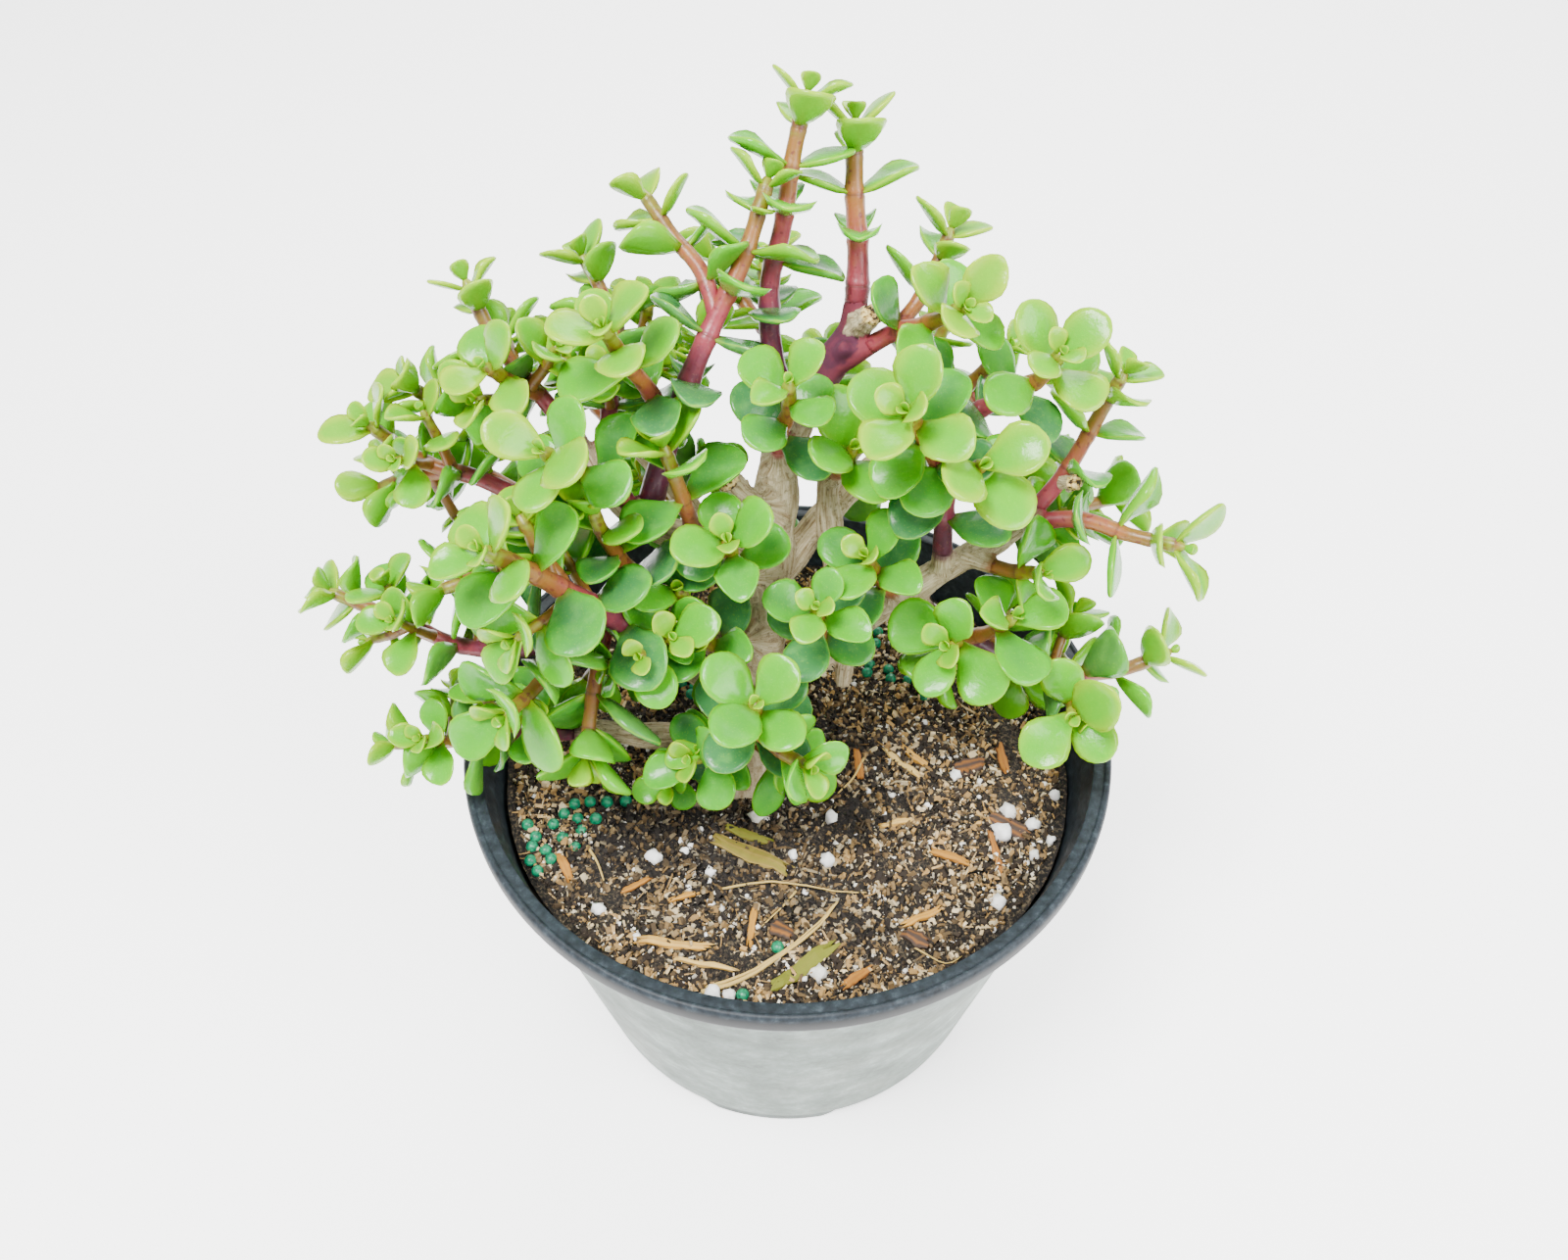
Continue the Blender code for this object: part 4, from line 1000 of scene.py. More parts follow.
def leaf_mesh(name, widest, taper, broad, blunt, wave, lean, cupped):
    """A leaf one metre long from its root at the origin, along +X with its upper side to +Z.

    widest is where it is broadest, taper is how slowly it widens, blunt is how full its end is,
    wave and lean bend it, and cupped is how far its sides rise.
    """
    rows = 9
    around = 8
    corners = []
    marks = {"along": [], "rim": [], "upper": []}
    width = LEAF_WIDTH / 2 * broad
    for row in range(rows):
        share = math.sin(math.pi / 2 * row / (rows - 1)) ** 0.85
        half = half_width(min(share, 0.996), widest, taper, blunt) * width
        flesh = LEAF_THICK / 2 * (0.62 + 0.38 * math.sin(math.pi * min(share * 1.1, 1.0)))
        flesh *= min(1.0, half / width * 2.2)
        for index in range(around):
            turn = math.pi * index / (around // 2)
            side = math.cos(turn)
            rise = math.sin(turn)
            fullness = 0.8 if rise > 0 else 1.2
            cup = cupped * (side * half / width) ** 2 - LEAF_DROOP * share * share
            sway = wave * math.sin(5.5 * share + 2 * side) * abs(side) + lean * share * share
            edge = math.copysign(abs(side) ** 0.72, side)
            groove = 0.012 * (1 - share) * (1 - abs(side)) if rise > 0 else 0.0
            corners.append((share, edge * half, rise * flesh * fullness + cup + sway - groove))
            marks["along"].append(share)
            marks["rim"].append(max(abs(edge), share ** 9))
            marks["upper"].append(1.0 if rise > -0.01 else 0.0)
    faces = [(a, d, c, b) for a, b, c, d in ring_faces(rows, around)]
    faces.append(tuple(range(around)))
    faces.append(tuple(range(len(corners) - 1, len(corners) - around - 1, -1)))
    mesh = bpy.data.meshes.new(name)
    mesh.from_pydata(corners, [], faces)
    mesh.shade_smooth()
    for label, values in marks.items():
        carry(mesh, label, values)
    form = bmesh.new()
    form.from_mesh(mesh)
    bmesh.ops.recalc_face_normals(form, faces=form.faces)
    form.to_mesh(mesh)
    form.free()
    return mesh


def stem_parts(axis, start, marks):
    """Corners, faces, ages and ring lines of one fine stem that swells at its leaf pairs."""
    sides = 14
    places = [start]
    while places[-1] < axis.length - 0.8:
        near = min((abs(places[-1] - mark) for mark in marks), default=9)
        places.append(places[-1] + (0.35 if near < 1.0 else 0.9))
    places.append(axis.length)
    corners = []
    ages = []
    lines = []
    side = None
    for place in places:
        point, direction = axis.at(place)
        side = square_to(direction, side) if side else first_side(direction)
        other = direction.cross(side)
        near = min((abs(place - mark) for mark in marks), default=9)
        swell = 1 + 0.13 * math.exp(-(near / 1.5) ** 2) - 0.10 * math.exp(-(near / 0.28) ** 2)
        back = axis.length - place
        radius = axis.radius(place) * swell * min(1.0, 0.35 + 0.65 * math.sqrt(back / 2.5))
        for index in range(sides):
            turn = math.tau * index / sides
            lump = 1 + 0.05 * noise.noise(point * 0.35 + Vector((index, 0, 0)) * 0.4)
            out = math.cos(turn) * side + math.sin(turn) * other
            corners.append(point + radius * lump * out)
            ages.append(min(back / STEM_AGE_SPAN, 1.0))
            lines.append(math.exp(-(near / 0.35) ** 2))
    faces = ring_faces(len(places), sides)
    faces.append(tuple(range(sides - 1, -1, -1)))
    last = (len(places) - 1) * sides
    faces.append(tuple(range(last, last + sides)))
    return corners, faces, ages, lines


def join_stems(name, parts, surface):
    """One mesh from several stems."""
    corners = []
    faces = []
    ages = []
    lines = []
    for part_corners, part_faces, part_ages, part_lines in parts:
        first = len(corners)
        corners.extend(part_corners)
        faces.extend(tuple(index + first for index in face) for face in part_faces)
        ages.extend(part_ages)
        lines.extend(part_lines)
    mesh = plain_mesh(name, corners, faces)
    carry(mesh, "age", ages)
    carry(mesh, "ring", lines)
    carry(mesh, "tone", [0.5] * len(corners))
    mesh.materials.append(surface)
    return mesh


def leaves_tree():
    """Puts a leaf on each point by the size and turn that the point carries, with the stem."""
    tree, given = new_tree("leaves_on_stem", ("Stem", "Object"), ("Leaf forms", "Collection"),
                           ("Leaf scale", "Float"), ("Leaf skin", "Material"))
    stem = add_node(tree, "GeometryNodeObjectInfo", {"Object": given["Stem"]}, out="Geometry")
    forms = add_node(tree, "GeometryNodeCollectionInfo",
                     {"Collection": given["Leaf forms"], "Separate Children": True,
                      "Reset Children": True})
    turn, size, form = (
        add_node(tree, "GeometryNodeInputNamedAttribute", {"Name": name}, data_type=kind)
        for name, kind in (("turn", "FLOAT_VECTOR"), ("size", "FLOAT"), ("form", "FLOAT")))
    rotation = add_node(tree, "FunctionNodeEulerToRotation", {"Euler": turn})
    scale = add_node(tree, "ShaderNodeMath", {0: size, 1: given["Leaf scale"]},
                     operation="MULTIPLY")
    leaves = add_node(tree, "GeometryNodeInstanceOnPoints",
                      {"Points": given["Geometry"], "Instance": forms, "Pick Instance": True,
                       "Instance Index": form, "Rotation": rotation, "Scale": scale})
    real = add_node(tree, "GeometryNodeRealizeInstances", {"Geometry": leaves})
    skin = add_node(tree, "GeometryNodeSetMaterial",
                    {"Geometry": real, "Material": given["Leaf skin"]})
    joined = add_node(tree, "GeometryNodeJoinGeometry", {"Geometry": [skin, stem]})
    add_node(tree, "NodeGroupOutput", {"Geometry": joined})
    return tree


def leaf_points(name, leaves):
    """Loose points that carry each leaf's place, turn, size, form, age and tone."""
    mesh = plain_mesh(name, [grown["root"] for grown in leaves], [])
    carry(mesh, "size", [grown["length"] * MM for grown in leaves])
    for label in ("age", "tone", "form"):
        carry(mesh, label, [float(grown[label]) for grown in leaves])
    turns = []
    for grown in leaves:
        along, face = grown["along"], grown["face"]
        across = face.cross(along)
        turns.append(Matrix((along, across, face)).transposed().to_euler())
    carry(mesh, "turn", turns, "FLOAT_VECTOR")
    return mesh


def inside_crown(point):
    """0 at the crown's outer skin or beyond, up to 1 in its middle."""
    reach = math.hypot(*((value - middle) / reach for value, middle, reach
                         in zip(point, CROWN_MIDDLE, CROWN_REACH)))
    return max(0.0, 1.0 - reach)


def grow_twigs(name, axis, start, full_length, roll, placed, rng):
    """Short side shoots from a stem's older joints, each kept only where its leaves find room."""
    twigs = []
    place = axis.length - FIRST_TWIG
    number = 0
    while place > start + 3:
        point, direction = axis.at(place)
        side = first_side(direction)
        other = direction.cross(side)
        for half in (0, 180):
            turn = math.radians(roll + 90 * number + half + rng.uniform(-35, 35))
            outward = math.cos(turn) * side + math.sin(turn) * other
            heading = outward + direction * rng.uniform(0.1, 0.7) + Vector((0, 0, 0.35))
            reach = rng.uniform(*TWIG_LENGTHS)
            tip = point + heading.normalized() * reach
            if inside_crown(tip) < TWIG_DEPTH:
                continue
            middle = point.lerp(tip, 0.5) + outward * 0.06 * reach
            twig = Axis((point, middle, tip), *TWIG_RADII)
            places = even_places(axis.radius(place) + 1, twig.length, 6)
            rod = tube(twig, places, [TWIG_ROOM] * len(places), STEM_SIDES)
            if too_low(rod[0]) or placed.touches(name + " stem", *rod):
                continue
            before = len(placed.items)
            placed.add(name + " stem", *rod)
            leaves = grow_leaves(name, twig, axis.radius(place) + 2.5, full_length * 0.72,
                                 full_length * rng.uniform(0.85, 1.05), rng.uniform(0, 180),
                                 placed, rng)
            if len(leaves) < FEWEST_LEAVES:
                del placed.items[before:]
                continue
            twigs.append((twig, leaves))
        place -= rng.uniform(*(TWIG_STEPS_LEFT if point.x < CROWDED_LEFT else TWIG_STEPS))
        number += 1
    return twigs


def bud_leaves(axis, roll, tip_length, rng):
    """The small leaf pairs, still half folded, that close the tip of a stem."""
    point, direction = axis.at(axis.length - 0.8)
    side = first_side(direction)
    found = []
    sizes = BUD_PAIRS if rng.random() < TWO_PAIRS_SHARE else SMALL_BUD_PAIR
    for number, (share, lean) in enumerate(sizes):
        for half in (0, 180):
            along, face = aimed(direction, side, roll + 90 + 90 * number + half,
                                lean + rng.uniform(-9, 9))
            found.append({"root": point + direction * 0.5 * number, "along": along,
                          "face": square_to(along, face), "age": 0.0, "tone": rng.random(),
                          "length": tip_length * share * rng.uniform(0.8, 1.1), "form": 1})
    return found


def dressed(axis, start, roll, tip_length, leaves, rng):
    """A stem with its leaves' looks drawn and its tip closed: (axis, start, marks, leaves)."""
    for grown in leaves:
        grown["tone"] = rng.random()
        grown["form"] = rng.randrange(LEAF_FORMS)
        grown["age"] = leaf_age_and_shade(grown, rng)
    leaves.extend(bud_leaves(axis, roll, tip_length, rng))
    return axis, start, [place for place, _ in leaf_pairs(axis, start)], leaves


def grown_stems():
    """Every stem and twig with its leaves: {node: [(axis, start, marks, leaves)]}."""
    limbs = limb_axes()
    stems = plan_stems(limbs)
    placed = Placed()
    for axis in limbs.values():
        places = even_places(0, axis.length, 9)
        radii = [axis.radius(place) * WOOD_ROOM + GAP for place in places]
        placed.add("wood", *tube(axis, places, radii, TRUNK_SIDES))
    for _, axis, start, _ in stems:
        if start:
            placed.add("wood", *collar_tube(axis, start, wider=GAP))
    roots = [start + GAP / 2 if start else 0.0 for _, _, start, _ in stems]
    for (name, axis, _, _), root in zip(stems, roots):
        placed.add(name + " stem", *stem_tube(axis, root, wider=GAP))
    groups = {}
    for index, (name, axis, start, row) in enumerate(stems):
        _, _, _, tip_length, full_length, roll, _ = row
        first = start + FIRST_ON_COLLAR if start else axis.root_radius + FIRST_ON_STEM
        leaves = grow_leaves(name, axis, first, tip_length, full_length, roll, placed,
                             random.Random(LEAF_SEED + index))
        groups.setdefault(name, []).append(dressed(axis, roots[index], roll, tip_length, leaves,
                                                   random.Random(LOOKS_SEED + index)))
    for index, (name, axis, _, row) in enumerate(stems):
        _, _, _, _, full_length, roll, _ = row
        rng = random.Random(TWIG_SEED + index)
        for twig, leaves in grow_twigs(name, axis, roots[index], full_length, roll, placed, rng):
            groups[name].append(dressed(twig, 0.5, 40, full_length * 0.7, leaves, rng))
    return groups


def leaf_age_and_shade(grown, rng):
    """0 for a leaf at a lit tip, up to 1 for an old one, and higher with painted shade deep in the
    crown.
    """
    depth = inside_crown(grown["root"])
    # Age from the distance to the tip, plus painted shade that darkens leaves deep inside the
    # crown
    return min(1.0, grown["back"] / LEAF_AGE_SPAN + 0.75 * depth + rng.uniform(-0.08, 0.08))


class BonsaiColours(bpy.types.PropertyGroup):
    """The plant's and the pot's main colours, as sRGB hex values."""

    leaf_young: bpy.props.StringProperty(name="Young leaf", description="Lime of the tip leaves",
                                         default="#6ea402")
    leaf_grown: bpy.props.StringProperty(name="Grown leaf", description="Fresh mid green",
                                         default="#52a402")
    leaf_old: bpy.props.StringProperty(name="Old leaf", description="Deeper green of low leaves",
                                       default="#33703a")
    leaf_margin: bpy.props.StringProperty(name="Leaf margin", description="Pale edge of a leaf",
                                          default="#98b802")
    stem_young: bpy.props.StringProperty(name="Young stem", description="Tan of a stem's end",
                                         default="#76591f")
    stem_grown: bpy.props.StringProperty(name="Grown stem", description="Pink-red stem skin",
                                         default="#8c343e")
    stem_old: bpy.props.StringProperty(name="Old stem", description="Maroon of the oldest stems",
                                       default="#4c1c32")
    bark: bpy.props.StringProperty(name="Bark", description="Dry grey-beige bark",
                                   default="#b0a07e")
    bark_dark: bpy.props.StringProperty(name="Bark fibres", description="Brown in the splits",
                                        default="#806a4a")
    pot_rim: bpy.props.StringProperty(name="Pot rim", description="Dark slate plastic",
                                      default="#262d33")
    pot_wall: bpy.props.StringProperty(name="Pot wall", description="Pale bloom on the wall",
                                       default="#65716a")
    soil: bpy.props.StringProperty(name="Soil", description="Dried potting mix",
                                   default="#6c5e48")
    bead: bpy.props.StringProperty(name="Fertiliser bead", description="Teal resin coat",
                                   default="#007a52")


class BonsaiSizes(bpy.types.PropertyGroup):
    """Sizes that a user would change."""

    leaf_scale: bpy.props.FloatProperty(name="Leaf scale", description="Factor on every leaf",
                                        default=1.0, min=0.5, max=1.2)
    chip_count: bpy.props.IntProperty(name="Bark chips", description="Chips that lie on the soil",
                                      default=9000, min=0, max=9500)
    grit_count: bpy.props.IntProperty(name="Perlite grit", description="White grains in the soil",
                                      default=650, min=0, max=2000)
    crumb_count: bpy.props.IntProperty(name="Peat crumbs", description="Crumbs between the chips",
                                       default=15000, min=0, max=16000)
    fleck_count: bpy.props.IntProperty(name="Bark flecks", description="Short lumps of bark",
                                       default=5500, min=0, max=16000)
    camera_distance: bpy.props.FloatProperty(
        name="Camera distance", description="From the rim's middle to the lens",
        default=0.3511, min=0.1, subtype="DISTANCE", unit="LENGTH")
    camera_height: bpy.props.FloatProperty(
        name="Camera elevation", description="Angle of the line from the rim's middle to the lens",
        default=math.radians(51.68), subtype="ANGLE")
    camera_pitch: bpy.props.FloatProperty(
        name="Camera pitch", description="Angle of the lens below the horizon",
        default=math.radians(47.86), subtype="ANGLE")


class BONSAI_OT_pot(bpy.types.Operator):
    """Turn the nursery pot with its rolled lip, stepped inside and padded foot"""

    bl_idname = "bonsai.pot"
    bl_label = "Pot"

    def execute(self, context):
        sides = 144
        lip_bottom = POT_HEIGHT - LIP_DROP
        plate = FLOOR_TOP - WALL * 2
        inner = RIM_RADIUS - LIP_WIDTH
        groove = RIM_RADIUS - 1.8
        wall_lean = (WALL_TOP_RADIUS - WALL_FOOT_RADIUS) / (lip_bottom - FOOT_HEIGHT)
        profile = [(0, 0, 0), (HUB_RADIUS, 0, 0), (HUB_RADIUS + 0.5, plate, 0),
                   (FOOT_RADIUS - FOOT_WIDTH, plate, 0), (FOOT_RADIUS - FOOT_WIDTH + 0.4, 0, 0),
                   (FOOT_RADIUS - 0.5, 0, 0.5), (FOOT_RADIUS, 0.5, 0.6),
                   (FOOT_RADIUS + 0.1, FOOT_HEIGHT - 0.6, 0.6),
                   (WALL_FOOT_RADIUS - 0.3, FOOT_HEIGHT - 0.1, 0.8),
                   (WALL_FOOT_RADIUS, FOOT_HEIGHT + 0.8, 1)]
        for step in range(1, 24):
            height = FOOT_HEIGHT + (lip_bottom - FOOT_HEIGHT - 1.2) * step / 23
            profile.append((WALL_FOOT_RADIUS + (height - FOOT_HEIGHT) * wall_lean, height, 1))
        profile += [(WALL_TOP_RADIUS + 0.3, lip_bottom - 0.5, 0.7),
                    (WALL_TOP_RADIUS + 1.2, lip_bottom, 0.2),
                    (RIM_RADIUS - 1.0, lip_bottom, 0), (RIM_RADIUS - 0.35, lip_bottom + 0.3, 0),
                    (RIM_RADIUS - 0.1, lip_bottom + 1.2, 0), (RIM_RADIUS, POT_HEIGHT - 2.0, 0),
                    (RIM_RADIUS - 0.12, POT_HEIGHT - 0.9, 0),
                    (RIM_RADIUS - 0.6, POT_HEIGHT - 0.2, 0), (RIM_RADIUS - 1.2, POT_HEIGHT, 0),
                    (groove + 0.15, POT_HEIGHT - 0.08, 0), (groove - 0.15, POT_HEIGHT - 0.55, 0),
                    (groove - LIP_GROOVE, POT_HEIGHT - 0.6, 0),
                    (inner + 0.7, POT_HEIGHT - 0.55, 0), (inner + 0.15, POT_HEIGHT - 0.8, 0),
                    (inner, POT_HEIGHT - 1.4, 0), (inner - 0.3, lip_bottom + 1, 0)]
        for step in range(1, 9):
            height = lip_bottom + 1 - step * 3.0
            ledge = 0.25 * (step % 2)
            profile.append((inner - 0.9 - ledge - step * 0.5, height, 0))
        profile += [(WALL_FOOT_RADIUS + 0.4 - WALL, FLOOR_TOP + 1, 0), (0, FLOOR_TOP, 0)]
        corners = []
        blooms = []
        for radius, height, bloom in profile:
            for index in range(sides if radius else 1):
                turn = math.tau * index / sides
                level = height
                if height < 0.6 and radius > HUB_RADIUS + 1:
                    level = height + self.notch(turn) * FOOT_NOTCH
                corners.append((radius * math.cos(turn), radius * math.sin(turn), level))
                blooms.append(bloom)
        last = len(corners) - 1
        inmost = last - sides
        faces = [(0, 1 + (index + 1) % sides, 1 + index) for index in range(sides)]
        faces += ring_faces(len(profile) - 2, sides, first=1)
        faces += [(inmost + index, inmost + (index + 1) % sides, last) for index in range(sides)]
        mesh = plain_mesh("nursery_pot", corners, faces)
        carry(mesh, "bloom", [float(value) for value in blooms])
        # The lip mark: where the painted shade on the lip's outer side goes
        carry(mesh, "lip", [self.painted_lip_shade(corner) for corner in corners])
        mesh.set_sharp_from_angle(angle=math.radians(50))
        mesh.materials.append(pot_plastic(context.scene.bonsai_colours))
        finish_piece(linked("nursery_pot", mesh), "pot_plastic", "pot")
        return {"FINISHED"}

    def painted_lip_shade(self, corner):
        """1 on the lip's outer side, which gets near-black painted shade, and 0 elsewhere."""
        outer = math.hypot(corner[0], corner[1]) > RIM_RADIUS - 1.1
        return 1.0 if outer and corner[2] < POT_HEIGHT - 1.0 else 0.0

    def notch(self, turn):
        """How deep the foot ring is cut back here, from 0 on a pad to 1 between pads."""
        span = 360 / FOOT_PADS
        place = (math.degrees(turn) + 95 + span / 2) % span - span / 2
        return min(max((abs(place) - PAD_TURN / 2) / 4 + 0.5, 0.0), 1.0)


class BONSAI_OT_soil(bpy.types.Operator):
    """Fill the pot with potting mix and raise its crumbs"""

    bl_idname = "bonsai.soil"
    bl_label = "Soil"

    def execute(self, context):
        edge = wall_radius(SOIL_TOP) - WALL - GAP - 0.4
        floor_edge = wall_radius(FLOOR_TOP) - WALL - GAP - 0.4
        rings = 110
        sides = 300
        corners = [Vector((0, 0, FLOOR_TOP + GAP)), Vector((0, 0, self.height(0, 0)))]
        faces = []
        base = []
        for index in range(sides):
            turn = math.tau * index / sides
            base.append(len(corners))
            corners.append(Vector((floor_edge * math.cos(turn), floor_edge * math.sin(turn),
                                   FLOOR_TOP + GAP)))
        rows = []
        for ring in range(1, rings + 1):
            row = []
            for index in range(sides):
                turn = math.tau * index / sides
                reach = edge * (ring / rings) ** 0.7
                x, y = reach * math.cos(turn), reach * math.sin(turn)
                row.append(len(corners))
                corners.append(Vector((x, y, self.height(x, y))))
            rows.append(row)
        for index in range(sides):
            following = (index + 1) % sides
            faces.append((0, base[following], base[index]))
            faces.append((base[index], base[following], rows[-1][following], rows[-1][index]))
            faces.append((1, rows[0][index], rows[0][following]))
            for low, high in zip(rows, rows[1:]):
                faces.append((low[index], high[index], high[following], low[following]))
        mesh = plain_mesh("potting_mix", corners, faces)
        mesh.materials.append(potting_mix(context.scene.bonsai_colours))
        finish_piece(linked("potting_mix", mesh), "potting_soil", "soil")
        return {"FINISHED"}

    def height(self, x, y):
        """The solid's surface with crumbs of 1 to 4 mm on it."""
        crumb = noise.noise(Vector((x / 2.2, y / 2.2, 1.0))) * 0.9
        crumb += noise.noise(Vector((x / 0.9, y / 0.9, 5.0))) * 0.45
        return soil_height(x, y) + crumb


def chip_mesh(name, length, width, thick, seed, cuts=1):
    """A splinter of bark, or without cuts a crumb, about the origin, in millimetres."""
    rng = random.Random(seed)
    form = bmesh.new()
    bmesh.ops.create_cube(form, size=1.0)
    if cuts:
        bmesh.ops.subdivide_edges(form, cuts=cuts, edges=[
            edge for edge in form.edges if abs((edge.verts[0].co - edge.verts[1].co).x) > 0.5])
    for corner in form.verts:
        ragged = 0.45 if abs(corner.co.x) > 0.4 else 1.0
        corner.co.x *= length * rng.uniform(0.8, 1.15) * MM
        corner.co.y *= width * ragged * rng.uniform(0.6, 1.2) * MM
        corner.co.z *= thick * rng.uniform(0.6, 1.2) * MM
    return made(name, form)


def grain_mesh(name, radius, seed, rough, fineness=1):
    """A grain about the origin: round for a bead, knobbly for perlite."""
    form = bmesh.new()
    bmesh.ops.create_icosphere(form, subdivisions=fineness, radius=radius * MM)
    for corner in form.verts:
        bumpy = noise.noise(corner.co / MM * 0.9 + Vector((seed * 7.3, 0, 0)))
        corner.co *= 1 + rough * bumpy
    mesh = made(name, form)
    mesh.shade_smooth()
    return mesh


def scatter_tree():
    """Scatters one kind of bit over a patch of soil: many, each turned and sized at random."""
    tree, given = new_tree("scatter_bits", ("Bits", "Collection"),
                           ("Count per square metre", "Float"), ("Smallest", "Float"),
                           ("Largest", "Float"), ("Tilt", "Float"), ("Seed", "Int"),
                           ("Finish", "Material"))
    seed, tilt = given["Seed"], given["Tilt"]
    spread = add_node(tree, "GeometryNodeDistributePointsOnFaces",
                      {"Mesh": given["Geometry"], "Density": given["Count per square metre"],
                       "Seed": seed})
    forms = add_node(tree, "GeometryNodeCollectionInfo",
                     {"Collection": given["Bits"], "Separate Children": True,
                      "Reset Children": True})
    draw = add_node(tree, "FunctionNodeRandomValue", {"Seed": seed}, out=1, data_type="FLOAT")
    rarely_big = add_node(tree, "ShaderNodeMath", {0: draw, 1: 2.2}, operation="POWER")
    size = add_node(tree, "ShaderNodeMapRange",
                    {"Value": rarely_big, "To Min": given["Smallest"],
                     "To Max": given["Largest"]})
    lean = add_node(tree, "ShaderNodeMath", {0: tilt, 1: -1.0}, operation="MULTIPLY")
    low = add_node(tree, "ShaderNodeCombineXYZ", {"X": lean, "Y": lean, "Z": 0.0})
    high = add_node(tree, "ShaderNodeCombineXYZ", {"X": tilt, "Y": tilt, "Z": math.tau})
    turn = add_node(tree, "FunctionNodeRandomValue", {0: low, 1: high, "Seed": seed},
                    data_type="FLOAT_VECTOR")
    bits = add_node(tree, "GeometryNodeInstanceOnPoints",
                    {"Points": spread, "Instance": forms, "Pick Instance": True,
                     "Rotation": turn, "Scale": size})
    tone = add_node(tree, "FunctionNodeRandomValue", {"Seed": 5}, out=1, data_type="FLOAT")
    toned = add_node(tree, "GeometryNodeStoreNamedAttribute",
                     {"Geometry": bits, "Name": "tone", "Value": tone}, data_type="FLOAT",
                     domain="INSTANCE")
    real = add_node(tree, "GeometryNodeRealizeInstances", {"Geometry": toned})
    skin = add_node(tree, "GeometryNodeSetMaterial",
                    {"Geometry": real, "Material": given["Finish"]})
    add_node(tree, "NodeGroupOutput", {"Geometry": skin})
    return tree


def gathered(name, meshes):
    """A collection of forms that the trees pick from. It isn't in the scene."""
    group = bpy.data.collections.new(name)
    for mesh in meshes:
        group.objects.link(bpy.data.objects.new(mesh.name, mesh))
    return group


def put_away(group):
    for item in list(group.objects):
        bpy.data.objects.remove(item, do_unlink=True)
    bpy.data.collections.remove(group)


def soil_patch(lift):
    """The soil's surface inside the pot as an open patch to scatter on."""
    edge = wall_radius(SOIL_TOP) - WALL - 3.0
    form = bmesh.new()
    bmesh.ops.create_circle(form, cap_ends=True, cap_tris=True, segments=72, radius=edge)
    for _ in range(2):
        bmesh.ops.subdivide_edges(form, edges=form.edges[:], cuts=1, use_grid_fill=True)
    for corner in form.verts:
        corner.co.z = soil_height(corner.co.x, corner.co.y) + lift
    bmesh.ops.scale(form, vec=(MM, MM, MM), verts=form.verts)
    return made("soil_patch", form)


# Loose bits: each form's name, length, width, thickness and seed, and the cuts along it. Bits
# without cuts are crumbs.
CHIPS = (("chip_a", 3.4, 1.0, 0.5, 1, 1), ("chip_b", 2.2, 1.5, 0.7, 2, 1),
         ("chip_c", 4.6, 0.5, 0.3, 3, 1), ("chip_d", 1.8, 1.3, 0.9, 4, 1),
         ("chip_e", 5.4, 0.3, 0.25, 5, 1), ("chip_f", 2.8, 1.9, 0.5, 6, 1))
DUST = (("dust_a", 1.0, 0.8, 0.6, 7, 0), ("dust_b", 0.8, 0.7, 0.7, 8, 0),
        ("dust_c", 1.3, 0.6, 0.5, 9, 0), ("dust_d", 0.7, 0.9, 0.5, 10, 0))
# Perlite grit: each form's name, radius, seed and roughness
GRIT = (("grit_a", 0.8, 1, 0.9), ("grit_b", 0.7, 2, 1.0), ("grit_c", 0.9, 3, 0.8))

# The colours that a bit's tone stands for
BARK_TONES = ((0.0, "#0f0d0b"), (0.36, "#2e251b"), (0.56, "#7c6440"), (0.80, "#bc9456"),
              (1.0, "#ead8ae"))
PEAT_TONES = ((0.0, "#0c0b0a"), (0.44, "#302a22"), (0.60, "#94866a"), (0.80, "#d2c4a6"),
              (1.0, "#fff8ea"))
GRIT_TONES = ((0.0, "#d9d5c8"), (1.0, "#ffffff"))
PERLITE_TONES = ((0.0, "#efece2"), (1.0, "#ffffff"))
SPLINTER_TONES = ((0.0, "#3c2e26"), (0.1, "#9a5e18"), (0.35, "#b98428"), (0.62, "#dcba6c"),
                  (0.8, "#7c6c24"), (1.0, "#6f7414"))


